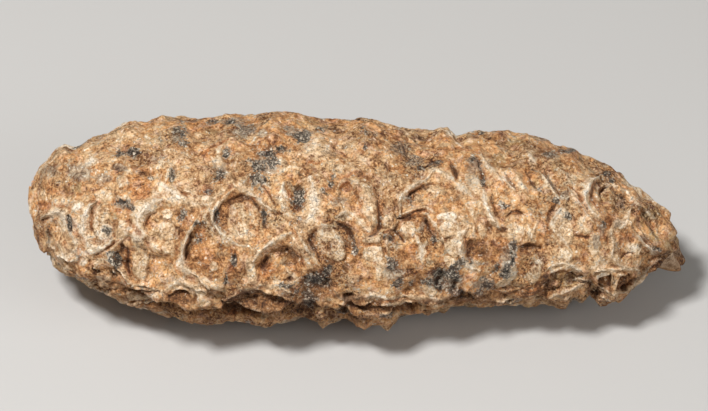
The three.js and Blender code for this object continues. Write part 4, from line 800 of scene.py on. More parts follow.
def skin_outward(along, turn):
    step = 0.05
    inside = np.clip(along, SKIN_START + 2 * step, SKIN_END - 2 * step)
    along_skin = skin_points(inside + step, turn) - skin_points(inside - step, turn)
    round_skin = skin_points(inside, turn + 1) - skin_points(inside, turn - 1)
    outward = np.cross(along_skin, round_skin)
    return outward / np.linalg.norm(outward, axis=-1, keepdims=True)


# ---- The relief that the solid has too -------------------------------------------------------

BACK_FROM, TURN_SWAY, ALONG_SWAY = 140, 9, 0.8  # where the plain rows start, and how they sway
FIRST_ROW = 0.3  # from the broad end to the first plain row
POINTS_AT_ONCE = 40000  # points whose scales are worked out together
STROKE_STEPS = 6  # places that a stroke has between two of its corners, with both


def place_scales():
    """Each scale's middle, and its kind's four sizes."""
    scales = [(skin_points(along, turn), SCALE_KINDS[kind]) for kind, along, turn in FRONT_SCALES]
    for row in range(int((SKIN_END - SKIN_START) / ROW_STEP) + 1):
        along = SKIN_START + FIRST_ROW + row * ROW_STEP
        girth = 2 * math.pi * station_values(along)[2] * end_rounding(along)
        count = max(1, int(girth / BACK_SPACING + 0.5))
        for place in range(count):
            turn = BACK_FROM + (place + row % 2 / 2) * 360 / count
            turn += TURN_SWAY * math.sin(row * 2.3 + place * 4.1)
            shift = ALONG_SWAY * math.sin(row * 5.1 + place * 2.7)
            middle = skin_points(min(max(along + shift, SKIN_START), SKIN_END), turn)
            if all(np.linalg.norm(middle - other) > CLEARANCE for other, _ in scales):
                scales.append((middle, SCALE_KINDS[ROW_KINDS[(row * 3 + place * 5) % len(ROW_KINDS)]]))
    return np.array([middle for middle, _ in scales]), np.array([sizes for _, sizes in scales])


def scale_relief(points, middles, sizes):
    """The rims, hollows and bosses of the scales, and how much of a rim's crest each point is."""
    relief, crest = np.zeros(len(points)), np.zeros(len(points))
    for start in range(0, len(points), POINTS_AT_ONCE):
        part = slice(start, start + POINTS_AT_ONCE)
        distance = np.linalg.norm(points[part, None] - middles[None], axis=2)
        nearest = distance.argmin(axis=1)
        own = distance[np.arange(len(nearest)), nearest]
        apart = np.linalg.norm(middles[None] - middles[nearest][:, None], axis=2)
        apart[np.arange(len(nearest)), nearest] = 1
        gap = (distance ** 2 - own[:, None] ** 2) / (2 * apart)
        gap[np.arange(len(nearest)), nearest] = np.inf
        edge = gap.min(axis=1)
        weight = np.exp((own[:, None] - distance) / LEVEL_BLEND)
        weight /= weight.sum(axis=1, keepdims=True)
        rim, floor = weight @ sizes[:, 0], weight @ sizes[:, 1]
        boss, radius = sizes[nearest, 2], sizes[nearest, 3]
        shape = np.exp(-(edge / RIM_WIDTH) ** 2)
        dome = np.sqrt(np.clip(1 - (own / radius) ** 2, 0, 1))
        relief[part] = rim * shape + floor * smooth(edge, 0, RIM_FOOT) * (1 - dome) + boss * dome
        crest[part] = shape * rim
    return relief, crest


def line_distance(points, corners):
    """How far points are from a line through corners, in as many dimensions as they have."""
    closest = np.full(len(points), np.inf)
    for start, end in zip(corners[:-1], corners[1:]):
        step = end - start
        share = np.clip((points - start) @ step / max(step @ step, 1e-9), 0, 1)
        closest = np.minimum(closest, np.linalg.norm(points - start - share[:, None] * step, axis=1))
    return closest


def stroke_shift(points, outward):
    """How far the ridges, cracks and pushed edges move each point."""
    shift = np.zeros_like(points)
    for rise, push, width, line in STROKES.values():
        corners = []
        for (along, turn), (to_along, to_turn) in zip(line[:-1], line[1:]):
            step = (to_turn - turn + 180) % 360 - 180
            for share in np.linspace(0, 1, STROKE_STEPS):
                corners.append(skin_points(along + (to_along - along) * share, turn + step * share))
        share = np.exp(-(line_distance(points, np.array(corners)) / width) ** 2)[:, None]
        shift += (outward * rise + np.array(push)) * share
    return shift


def lump_relief(points):
    relief = np.zeros(len(points))
    for height, swing, phase in LUMPS:
        x, y, z = (points * np.array(swing)).T
        relief += height * np.sin(x + phase + np.sin(y * 1.3)) * np.cos(y - z + phase)
    return relief


# ---- The near side's own relief ---------------------------------------------------------------

CURVE_STEPS = 5
RIDGE_SHARE, HOLLOW_SHARE, BOSS_SHARE = 1.0, 1.1, 0.75  # how much of the listed rises is left
RIM_TINGE = ((0.4, 0.4), (0.45, 1.0), (0.35, 2.2))  # (how pale, how far out, in half widths)
FOOT_SHADE, TALL_RIDGE = 0.42, 0.8  # how dark the painted shadow line at a ridge's foot is, if it is tall
RIDGE_SPREAD = 1.25  # how much wider the ridges are than listed
TAPER = 0.3  # how much of a line's length it thins out over, at either end
FLOOR_TILT = (0.25, 0.5)  # how much shallower a hollow's floor is at its right and at its foot


def curve(corners, closed=False):
    """Points along a smooth curve through the corners."""
    corners = np.array(corners, float)
    if closed:
        before, after = corners[-1:], corners[:2]
    else:
        before, after = 2 * corners[:1] - corners[1:2], 2 * corners[-1:] - corners[-2:-1]
    held = np.r_[before, corners, after]
    share = np.linspace(0, 1, CURVE_STEPS, endpoint=False)[:, None]
    points = []
    for first, start, end, last in zip(held[:-3], held[1:-2], held[2:-1], held[3:]):
        points.append(start + 0.5 * share * (end - first + share * (
            2 * first - 5 * start + 4 * end - last + share * (3 * (start - end) + last - first))))
    return np.r_[np.concatenate(points), held[-2:-1]]


def near(pixels, corners, reach):
    """The numbers of the pixels that lie about a feature."""
    low, high = corners.min(axis=0) - reach, corners.max(axis=0) + reach
    return np.nonzero(np.all((pixels > low) & (pixels < high), axis=1))[0]


def inside_depth(points, corners):
    """How far inside a closed outline points are; outside it is negative."""
    inside = np.zeros(len(points), bool)
    for (x, y), (next_x, next_y) in zip(corners[:-1], corners[1:]):
        if y != next_y:
            crosses = (y > points[:, 1]) != (next_y > points[:, 1])
            inside ^= crosses & (points[:, 0] < x + (points[:, 1] - y) * (next_x - x) / (next_y - y))
    return np.where(inside, 1, -1) * line_distance(points, corners)


def tapered_distance(pixels, corners, width):
    """How far pixels are from a line, in its half widths, which shrink toward its ends."""
    closest = np.full(len(pixels), np.inf)
    place = np.zeros(len(pixels))
    for index, (start, end) in enumerate(zip(corners[:-1], corners[1:])):
        step = end - start
        share = np.clip((pixels - start) @ step / max(step @ step, 1e-9), 0, 1)
        distance = np.linalg.norm(pixels - start - share[:, None] * step, axis=1)
        nearer = distance < closest
        closest = np.where(nearer, distance, closest)
        place = np.where(nearer, (index + share) / (len(corners) - 1), place)
    taper = 0.35 + 0.65 * smooth(np.minimum(place, 1 - place), 0, TAPER)
    return closest / PIXELS_PER_MM / width / taper


def drawn_relief(pixels, wobble):
    """The relief that the photograph shows at each pixel, with how pale it is and how dark its painted shade
    is.
    """
    ridge, groove, hollow, boss, pale, dark = (np.zeros(len(pixels)) for _ in range(6))
    for rise, width, share, line in RIDGES.values():
        corners = curve(line)
        chosen = near(pixels, corners, 4.5 * width * PIXELS_PER_MM)
        apart = tapered_distance(pixels[chosen], corners, RIDGE_SPREAD * width) * wobble[chosen]
        ridge[chosen] = np.maximum(ridge[chosen], rise * np.exp(-(apart / 0.75) ** 1.7))
        tinge = sum(strength * np.exp(-(apart / spread) ** 2) for strength, spread in RIM_TINGE)
        pale[chosen] = np.maximum(pale[chosen], share * tinge)
        # a painted shadow line along the ridge's foot
        foot = FOOT_SHADE * min(rise, TALL_RIDGE) * np.exp(-((apart - 1.5) / 0.4) ** 2)
        dark[chosen] = np.maximum(dark[chosen], foot)
    for depth, width, share, line in GROOVES.values():
        corners = curve(line)
        chosen = near(pixels, corners, 2.5 * width * PIXELS_PER_MM)
        shape = np.exp(-(tapered_distance(pixels[chosen], corners, width) * wobble[chosen]) ** 2)
        groove[chosen] = np.minimum(groove[chosen], -depth * shape)
        dark[chosen] = np.maximum(dark[chosen], share * shape)
    for depth, edge, line in HOLLOWS.values():
        corners = curve(line, closed=True)
        chosen = near(pixels, corners, edge * PIXELS_PER_MM)
        inside = inside_depth(pixels[chosen], corners) / PIXELS_PER_MM
        middle, reach = corners.mean(axis=0), np.ptp(corners, axis=0) / 2
        floor = 1 - (0.5 + 0.5 * (pixels[chosen] - middle) / reach) @ np.array(FLOOR_TILT)
        hollow[chosen] = np.minimum(hollow[chosen], -depth * floor * smooth(inside, -0.2 * edge, edge))
    for rise, edge, share, line in PLATES.values():
        corners = curve(line, closed=True)
        chosen = near(pixels, corners, edge * PIXELS_PER_MM)
        cover = smooth(inside_depth(pixels[chosen], corners) / PIXELS_PER_MM, -0.5 * edge, 0.5 * edge)
        boss[chosen] = np.maximum(boss[chosen], rise * cover)
        pale[chosen] = np.maximum(pale[chosen], share * cover)
    for rise, half_width, half_height, share, middle in BOSSES.values():
        offset = (pixels - middle) / PIXELS_PER_MM / (half_width, half_height)
        dome = np.clip(1 - np.sum(offset ** 2, axis=1) ** 1.6, 0, 1) ** 0.8
        boss = np.maximum(boss, rise * dome)
        pale = np.maximum(pale, share * smooth(dome, 0, 0.7))
    relief = RIDGE_SHARE * ridge + groove + HOLLOW_SHARE * hollow + BOSS_SHARE * boss
    return relief, pale, dark


def patch_share(pixels, patches):
    """How much of a tint the photograph shows at each pixel."""
    share = np.zeros(len(pixels))
    for half_width, half_height, strength, middle in patches:
        offset = (pixels - middle) / PIXELS_PER_MM / (half_width, half_height)
        share = np.maximum(share, strength * (1 - smooth(np.linalg.norm(offset, axis=1), 0.3, 1.4)))
    return share


# ---- The fine mesh ---------------------------------------------------------------------------

GRID_ROWS = 860
NEAR_TURNS = np.linspace(-65, 155, 350, endpoint=False)
FAR_TURNS = np.linspace(155, 295, 90, endpoint=False)
GRID_TURNS = np.r_[NEAR_TURNS, FAR_TURNS]
GRID_COLUMNS = len(GRID_TURNS)
LENGTH_STEPS = 4001  # places at which the skin's length is summed
FACE_LIMIT = 196000
WANDER_SIZE, SCALE_WANDER, STROKE_WANDER = 2.4, 0.45, 0.2  # how the solid's own relief wanders
FRET_SIZE, FRET = 1.1, 0.24  # how the near side's features wander, either way
SEEN_FROM, SEEN_FULL = 0.05, 0.3  # how squarely skin faces the camera where it starts to be drawn on
SEEN_LEAN = 0.8  # how far the drawn relief rises toward the camera rather than outward
GRAIN_SIZE, PIT_FROM, PIT_DEPTH = 0.5, 0.86, 0.3  # grains whose number is past PIT_FROM are pits
HOLLOW_REACH, PIT_REACH = 14, 4  # grid points from which a hollow and a pit stand out

# tint: (size, seed, where it starts, where it is full), of the noise that places it out of view
WILD_TINTS = {
    "cream": (5.0, 171, -0.25, 0.35), "soot": (2.2, 101, 0.22, 0.5), "rust": (3.0, 111, 0.1, 0.5),
    "chalk": (2.4, 121, 0.15, 0.5), "ash": (3.2, 131, 0.25, 0.6), "crackle": (3.4, 161, 0.3, 0.6),
    "olive": (2.8, 141, 0.25, 0.6), "umber_and_shade": (2.0, 151, 0.2, 0.55),
}


def grid_places():
    """Rows evenly spaced over the skin from end to end, each with columns all the way round."""
    share = (1 - np.cos(np.linspace(0, math.pi, LENGTH_STEPS))) / 2
    along = SKIN_START + (SKIN_END - SKIN_START) * share
    top = skin_points(along, 90)
    length = np.r_[0, np.cumsum(np.linalg.norm(np.diff(top, axis=0), axis=1))]
    rows = np.interp(np.linspace(0, length[-1], GRID_ROWS + 2), length, along)
    all_along = np.r_[rows[0], np.repeat(rows[1:-1], GRID_COLUMNS), rows[-1]]
    all_turn = np.r_[0, np.tile(GRID_TURNS, GRID_ROWS), 0]
    return all_along, all_turn


def grid_faces():
    """Quads between the rows, and a fan of triangles at each end."""
    row, column = np.meshgrid(np.arange(GRID_ROWS - 1), np.arange(GRID_COLUMNS), indexing="ij")
    beside = (column + 1) % GRID_COLUMNS
    corner = 1 + row * GRID_COLUMNS
    quads = np.stack([corner + column, corner + beside, corner + beside + GRID_COLUMNS,
                      corner + column + GRID_COLUMNS], axis=-1).reshape(-1, 4)
    ring = np.arange(GRID_COLUMNS)
    beside = (ring + 1) % GRID_COLUMNS
    last = 1 + (GRID_ROWS - 1) * GRID_COLUMNS
    broad_fan = np.stack([np.zeros_like(ring), 1 + beside, 1 + ring], axis=1)
    narrow_fan = np.stack([np.full_like(ring, last + GRID_COLUMNS), last + ring, last + beside], axis=1)
    return quads, np.r_[broad_fan, narrow_fan]


def make_mesh(name, points, quads, triangles):
    mesh = bpy.data.meshes.new(name)
    corners = np.r_[quads.ravel(), triangles.ravel()].astype(np.int32)
    counts = np.r_[np.full(len(quads), 4), np.full(len(triangles), 3)].astype(np.int32)
    starts = np.r_[0, np.cumsum(counts)[:-1]].astype(np.int32)
    mesh.vertices.add(len(points))
    mesh.vertices.foreach_set("co", points.astype(np.float32).ravel())
    mesh.loops.add(len(corners))
    mesh.loops.foreach_set("vertex_index", corners)
    mesh.polygons.add(len(counts))
    mesh.polygons.foreach_set("loop_start", starts)
    mesh.polygons.foreach_set("loop_total", counts)
    mesh.update(calc_edges=True)
    mesh.validate()
    return mesh


def grid_blur(values, reach):
    """A soft average over the grid's neighbours, up to reach points away."""
    field = values[1:-1].reshape(GRID_ROWS, GRID_COLUMNS)
    for _ in range(2):
        for axis, mode in ((0, "edge"), (1, "wrap")):
            pad = [(0, 0), (0, 0)]
            pad[axis] = (reach + 1, reach)
            total = np.cumsum(np.pad(field, pad, mode=mode), axis=axis)
            high = np.take(total, np.arange(2 * reach + 1, total.shape[axis]), axis=axis)
            low = np.take(total, np.arange(0, total.shape[axis] - 2 * reach - 1), axis=axis)
            field = (high - low) / (2 * reach + 1)
    return np.r_[field[0].mean(), field.ravel(), field[-1].mean()]


def thin_out(name, mesh, faces):
    """The mesh with about as many faces as given, the most where it bends the most."""
    dense = bpy.data.objects.new(name, mesh)
    bpy.context.scene.collection.objects.link(dense)
    thin = dense.modifiers.new("thin", "DECIMATE")
    thin.ratio = faces / (len(mesh.loops) - 2 * len(mesh.polygons))
    thin.use_collapse_triangulate = True
    bpy.context.view_layer.update()
    final = bpy.data.meshes.new_from_object(dense.evaluated_get(bpy.context.evaluated_depsgraph_get()))
    bpy.data.objects.remove(dense)
    final.name = name
    return final


def nearest_points(mesh, points):
    """For each corner point of the mesh, the number of the point that lies nearest to it."""
    tree = KDTree(len(points))
    for index, point in enumerate(points):
        tree.insert(point, index)
    tree.balance()
    places = np.zeros(len(mesh.vertices) * 3, np.float32)
    mesh.vertices.foreach_get("co", places)
    return np.array([tree.find(point)[1] for point in places.reshape(-1, 3)])


def draw_near_side(skin, base, lean):
    """The relief drawn on points, how pale it is and how dark its painted shade is, and the pixels their
    tints are at.
    """
    fret = np.stack([rough(skin, FRET_SIZE, 3, seed, 0.8) for seed in (61, 71)], axis=1)
    fret = fret * FRET * PIXELS_PER_MM
    wobble = np.maximum(1 + 0.75 * rough(skin, FRET_SIZE, 3, 77), 0.4)
    drawn = np.zeros(len(skin))
    for _ in range(2):  # the second time, from where the first has moved the points to
        pixels = np.stack(photo_pixel(base + lean * drawn[:, None]), axis=1) + fret
        drawn, pale, dark = drawn_relief(pixels, wobble)
    return drawn, pale, dark, pixels + fret


def surface_grit(skin, wander, gritty, strength):
    """The grain of the surface, all over: coarse grit, creases, and scattered grains and pits."""
    specks, number = grains(skin + 0.12 * wander, GRAIN_SIZE, 5)
    pits = np.where(number > PIT_FROM, -PIT_DEPTH * smooth(-specks, -0.55, -0.1), 0)
    creases = np.abs(rough(skin + 0.3 * wander, 1.8, 3, 45, 0.6))
    grit = 0.14 * rough(skin, 1.5, 4, 41, 0.7) + 0.55 * np.minimum(creases, 0.3) - 0.1
    return (grit + gritty * (0.1 * (0.6 - specks) + pits)) * strength


def build_cone():
    along, turn = grid_places()
    skin = skin_points(along, turn)
    outward = skin_outward(along, turn)
    facing, down = -outward @ VIEW_FORWARD, -outward[:, 2]
    seen = smooth(facing, SEEN_FROM, SEEN_FULL)
    skirt = smooth(down, -0.15, 0.2)
    fin_foot = smooth(along, 74.5, 76.5) * smooth(down, 0.45, 0.75)

    wander = np.stack([rough(skin, WANDER_SIZE, 3, seed) for seed in (11, 21, 31)], axis=1)
    relief, crest = scale_relief(skin + SCALE_WANDER * wander, *place_scales())
    whole = 0.35 + 0.65 * smooth(rough(skin, 3.0, 3, 51), -0.35, 0.15)
    base = skin + outward * lump_relief(skin)[:, None]
    base = base + stroke_shift(skin + STROKE_WANDER * wander, outward)
    base = fit_outline(base + outward * (0.25 * relief * (1 - seen))[:, None])
    lean = outward - VIEW_FORWARD * (SEEN_LEAN * seen)[:, None]
    lean /= np.linalg.norm(lean, axis=1, keepdims=True)

    front = np.nonzero(seen > 0)[0]
    drawn, pale, dark = (np.zeros(len(skin)) for _ in range(3))
    drawn[front], pale[front], dark[front], pixels = draw_near_side(skin[front], base[front], lean[front])

    swell = 0.8 + 0.8 * rough(skin, 1.8, 3, 81)
    rest = 0.6 * relief * whole * smooth(-facing, -0.05, 0.35)
    height = (1 - seen) * rest + seen * (drawn * swell + 0.15 * relief)
    gritty = smooth(rough(skin, 2.9, 3, 91), -0.2, 0.4)
    strength = (1 - 0.6 * pale) * (0.55 + 0.45 * seen) * (1 + np.clip(-0.6 * drawn, 0, 0.8) + 0.5 * skirt)
    grit = surface_grit(skin, wander, gritty, strength)
    height = height + (grit + 0.45 * skirt * (1 - fin_foot) * rough(skin, 2.0, 4, 47, 0.65))
    points = base + lean * height[:, None] - ORIGIN
    points[:, 2] = np.maximum(points[:, 2], 0)

    attributes = {
        "crest": seen * pale + (1 - seen) * crest * whole,
        # painted shade in cracks and grooves and along the feet of ridges
        "crack": seen * dark,
        # how far a point lies below its surroundings, in hollows and in pits; the material paints shade there
        "hollow": grid_blur(height, HOLLOW_REACH) - height,
        "pit": grid_blur(height, PIT_REACH) - height,
        # painted shade on skin that faces down, stronger under the fin at the tip
        "under": smooth(down, -0.12, 0.1) * (1 + 1.6 * fin_foot),
        "gritty": gritty,
    }
    for name, patches in PATCHES.items():
        attributes[name] = np.zeros(len(skin))
        attributes[name][front] = patch_share(pixels, patches) * seen[front]

    mesh = thin_out("cone", make_mesh("cone_dense", points * MM, *grid_faces()), FACE_LIMIT)
    mesh.polygons.foreach_set("use_smooth", np.ones(len(mesh.polygons), bool))
    source = nearest_points(mesh, points * MM)
    for name, values in attributes.items():
        values = values[source]
        if name in WILD_TINTS:
            size, seed, low, high = WILD_TINTS[name]
            values += (1 - seen[source]) * smooth(rough(skin[source], size, 3, seed), low, high)
        mesh.attributes.new(name, "FLOAT", "POINT").data.foreach_set("value", values.astype(np.float32))
    cone = bpy.data.objects.new("cone", mesh)
    bpy.context.scene.collection.objects.link(cone)
    return cone


# ---- Material --------------------------------------------------------------------------------

# name: (features in a millimetre, detail, roughness, seed)
NOISES = {
    "broad": (0.22, 2, 0.5, 3), "zone": (0.35, 3, 0.6, 57), "hue": (0.5, 4, 0.62, 41),
    "tint": (0.8, 4, 0.65, 73), "amber": (0.9, 4, 0.65, 91), "mottle": (1.1, 4, 0.65, 9),
    "fine": (3.2, 3, 0.75, 17), "bumps": (3.2, 4, 0.7, 29), "dots": (5.0, 3, 0.75, 83),
}

# name: the stone's colour, 0 to 255 on a screen, where it is dark, middling and light
SHADES = {
    "orange": ((118, 67, 26), (194, 138, 84), (232, 183, 124)),
    "cream": ((144, 100, 60), (202, 160, 113), (234, 200, 156)),
    "rust": ((112, 56, 20), (192, 118, 62), (226, 164, 104)),
    "olive": ((78, 60, 28), (150, 124, 78), (200, 174, 124)),
    "amber": ((122, 66, 24), (204, 134, 74), (234, 180, 116)),
    "pink": ((128, 82, 60), (206, 162, 132), (236, 204, 178)),
    "grey": ((92, 78, 58), (172, 150, 118), (214, 196, 166)),
    "pale": ((176, 140, 102), (222, 190, 150), (248, 234, 210)),
    "bright": ((196, 172, 144), (236, 220, 196), (252, 248, 240)),
    # dark brown, also used as painted shade under ledges and in recesses
    "umber_and_shade": ((44, 22, 6), (110, 66, 28), (176, 120, 66)),
    "ash": ((70, 62, 54), (140, 126, 108), (198, 184, 162)),
    # seam: painted shade along cracks, tinted rust
    "seam": ((110, 54, 18), (184, 112, 58), (220, 158, 100)),
    # deep: painted shade in the hollows
    "deep": ((60, 32, 10), (132, 80, 38), (192, 134, 78)),
    "brown": ((66, 36, 14), (122, 76, 40), (176, 124, 76)),
    "light": ((168, 130, 92), (226, 190, 148), (248, 228, 198)),
    "crackle": ((96, 74, 56), (176, 148, 120), (226, 206, 184)),
    # under: painted shade on the underside
    "under": ((40, 20, 6), (104, 62, 26), (164, 112, 60)),
}
TONE_STOPS = (0.2, 0.5, 0.8)
# the soot's dark crystals, with painted glints at the light end
SOOT = ((22, 20, 18), (50, 46, 42), (112, 101, 88), (186, 172, 152))
SOOT_STOPS = (0.1, 0.42, 0.68, 0.9)

# name: one colour that doesn't change with the tone
FLAT = {
    # gap and the dark pit colour: painted shade
    "gap": (58, 32, 14), "grime": (92, 52, 24), "crazing": (110, 66, 36), "lines": (52, 38, 28),
    # the near white one: painted glints
    "stray": (244, 236, 218), "fleck": (66, 44, 30),
}
BUMP_DEPTH = 0.0006  # in metres
DULL, SHINE = 0.82, 0.4  # the roughness, and how much less of it soot and the white painted glints have


def linear(red, green, blue):
    """A colour given as it looks on a screen, 0 to 255, as the shader wants it."""
    def channel(value):
        value /= 255
        return value / 12.92 if value <= 0.04045 else ((value + 0.055) / 1.055) ** 2.4
    return (channel(red), channel(green), channel(blue), 1)


class Nodes:
    """A short way to write a node tree."""

    def __init__(self, tree):
        self.tree = tree

    def add(self, kind, inputs=None, **settings):
        node = self.tree.nodes.new(kind)
        for key, value in settings.items():
            setattr(node, key, value)
        for key, value in (inputs or {}).items():
            if isinstance(value, bpy.types.NodeSocket):
                self.tree.links.new(value, node.inputs[key])
            else:
                node.inputs[key].default_value = value
        return node

    def math(self, operation, first, second):
        return self.add("ShaderNodeMath", {0: first, 1: second}, operation=operation).outputs[0]

    def total(self, *values):
        result, *others = values
        for value in others:
            result = self.math("ADD", result, value)
        return result

    def times(self, *values):
        result, *others = values
        for value in others:
            result = self.math("MULTIPLY", result, value)
        return result

    def without(self, value):
        """What a share leaves of 1."""
        return self.math("SUBTRACT", 1.0, value)

    def centred(self, value, factor):
        """A noise about 0 rather than about a half, times the factor."""
        return self.times(self.math("SUBTRACT", value, 0.5), factor)

    def mix(self, share, first, second):
        return self.add("ShaderNodeMix", {0: share, 6: first, 7: second}, data_type="RGBA").outputs[2]

    def ramp(self, value, places, colours):
        node = self.add("ShaderNodeValToRGB", {0: value})
        points = node.color_ramp.elements
        while len(points) < len(places):
            points.new(0.5)
        for point, place, colour in zip(points, places, colours):
            point.position, point.color = place, linear(*colour)
        return node.outputs[0]

    def step(self, value, low, high):
        return self.add("ShaderNodeMapRange", {0: value, 1: low, 2: high, 3: 0.0, 4: 1.0},
                        interpolation_type="SMOOTHSTEP").outputs[0]

    def vector(self, operation, first, inputs):
        return self.add("ShaderNodeVectorMath", {0: first, **inputs}, operation=operation).outputs[0]

    def noise(self, place, scale, detail, roughness, seed):
        moved = self.vector("ADD", place, {1: (seed, seed * 0.7, -seed)})
        return self.add("ShaderNodeTexNoise", {"Vector": moved, "Scale": scale, "Detail": detail,
                                               "Roughness": roughness}).outputs[0]

    def attribute(self, name):
        return self.add("ShaderNodeAttribute", attribute_name=name).outputs["Fac"]

    def speck(self, place, scale, seed):
        """A number of its own for each small grain."""
        moved = self.vector("ADD", place, {1: (seed, seed, seed)})
        grain = self.add("ShaderNodeTexVoronoi", {"Vector": moved, "Scale": scale})
        return self.add("ShaderNodeSeparateColor", {0: grain.outputs["Color"]}).outputs[0]


class Stone(Nodes):
    """The stone's grain, and the colour that is laid on it coat by coat."""

    def __init__(self, tree):
        super().__init__(tree)
        object_place = self.add("ShaderNodeTexCoord").outputs["Object"]
        self.place = self.vector("SCALE", object_place, {"Scale": 1 / MM})
        for name, settings in NOISES.items():
            setattr(self, name, self.noise(self.place, *settings))
        self.speckle = self.speck(self.place, 4.6, 1)
        self.crystal = self.speck(self.place, 2.6, 5)
        self.hollow = self.step(self.attribute("hollow"), 0.0, 0.7)
        self.paleness = self.total(self.attribute("crest"), self.attribute("chalk"))
        grit = self.step(self.total(self.attribute("gritty"), self.centred(self.zone, 1.0)), 0.3, 0.9)
        grit = self.math("MINIMUM", self.total(grit, self.times(self.hollow, 0.6)), 1.0)
        calm = self.step(self.total(self.paleness, self.attribute("cream")), 0.2, 1.0)
        self.grit = self.times(grit, self.without(self.times(calm, 0.8)))
        grain = self.total(self.centred(self.fine, 1.5), self.centred(self.speckle, 0.5),
                           self.centred(self.crystal, 0.2))
        self.tone = self.total(0.52, self.centred(self.mottle, 1.1), self.centred(self.broad, 0.7),
                               self.times(grain, self.total(0.4, self.times(self.grit, 0.7))))
        self.colour = self.shades("orange", self.tone)

    def shades(self, name, tone):
        return self.ramp(tone, TONE_STOPS, SHADES[name])

    def coat(self, share, name):
        """Lays a colour of SHADES or FLAT on the stone, where its share is above 0."""
        look = self.shades(name, self.tone) if name in SHADES else linear(*FLAT[name])
        self.colour = self.mix(share, self.colour, look)

    def patches(self, name, wobble=0.6):
        """A tint's share, its edge broken by the mottling."""
        return self.step(self.total(self.attribute(name), self.centred(self.mottle, wobble),
                                    self.centred(self.fine, wobble),
                                    self.centred(self.speckle, 0.3 * wobble)), 0.3, 0.6)

    def edge_lines(self, scale, width, low, high):
        """Thin broken lines between cells."""
        swirl = self.add("ShaderNodeTexNoise", {"Vector": self.place, "Scale": scale * 1.3, "Detail": 2.0})
        swirl = self.vector("SCALE", swirl.outputs["Color"], {"Scale": 0.9 / scale})
        bent = self.vector("ADD", self.place, {1: swirl})
        cells = self.add("ShaderNodeTexVoronoi", {"Vector": bent, "Scale": scale},
                         feature="DISTANCE_TO_EDGE").outputs[0]
        line = self.without(self.step(cells, 0.2 * width, width))
        return self.times(line, self.step(self.mottle, low, high))


def coat_body(s):
    """The body of the stone: orange and cream, with rust, olive, amber, pink and grey."""
    turned = s.add("ShaderNodeMapping", {0: s.place, 2: (math.radians(-45), 0, 0), 3: (3.2, 3.2, 0.7)})
    fibre = s.noise(turned.outputs[0], 1.0, 3, 0.6, 23)
    creamy = s.total(0.1, s.times(s.attribute("cream"), 0.6), s.centred(s.hue, 2.4), s.centred(s.mottle, 1.2),
                     s.centred(s.fine, 0.35), s.times(s.paleness, 0.9), s.times(s.attribute("rust"), -0.8),
                     s.times(s.hollow, -0.5))
    cream = s.shades("cream", s.total(s.tone, s.centred(fibre, 0.6)))
    s.colour = s.mix(s.step(creamy, -0.1, 0.8), s.colour, cream)
    s.coat(s.times(s.patches("rust"), 0.5), "rust")
    s.coat(s.times(s.patches("olive"), 0.55), "olive")
    s.coat(s.times(s.step(s.amber, 0.53, 0.62), 0.5), "amber")
    s.coat(s.times(s.step(s.tint, 0.52, 0.62), 0.55), "pink")
    s.coat(s.times(s.step(s.tint, 0.47, 0.37), s.step(s.broad, 0.35, 0.55), 0.6), "grey")


def coat_relief(s):
    """What follows the relief: pale rims, dark brown patches that are partly painted shade, ash, and painted
    shade along seams and cracks, in hollows and in pits.
    """
    worn = s.total(s.paleness, s.centred(s.mottle, 0.9))
    s.coat(s.times(s.step(s.total(worn, s.centred(s.fine, 0.3)), 0.25, 0.85), 0.85), "pale")
    s.coat(s.times(s.step(s.total(worn, s.centred(s.fine, 0.8)), 0.85, 1.3), 0.55), "bright")
    # Dark brown patches, partly painted shade under ledges and in recesses.
    s.coat(s.times(s.patches("umber_and_shade"), 0.75), "umber_and_shade")
    s.coat(s.times(s.patches("ash", 0.8), 0.7), "ash")
    # Painted shade in cracks, grooves and along ridge feet: tinted rust in places, then near black where
    # strongest.
    crack = s.attribute("crack")
    s.coat(s.times(s.step(crack, 0.04, 0.4), s.step(s.hue, 0.35, 0.6), 0.7), "seam")
    # Painted shade in the hollows.
    deep = s.total(s.attribute("hollow"), s.centred(s.mottle, 1.2), s.centred(s.fine, 0.6))
    s.coat(s.times(s.step(deep, 0.25, 0.9), 0.45), "deep")
    gap = s.total(crack, s.centred(s.mottle, 0.8), s.centred(s.fine, 0.8))
    s.coat(s.times(s.step(gap, 0.35, 0.85), 0.72), "gap")
    # Painted shade in small pits, where the surface lies below its close surroundings.
    s.coat(s.times(s.step(s.attribute("pit"), 0.04, 0.18), s.total(0.25, s.times(s.grit, 0.4))), "grime")


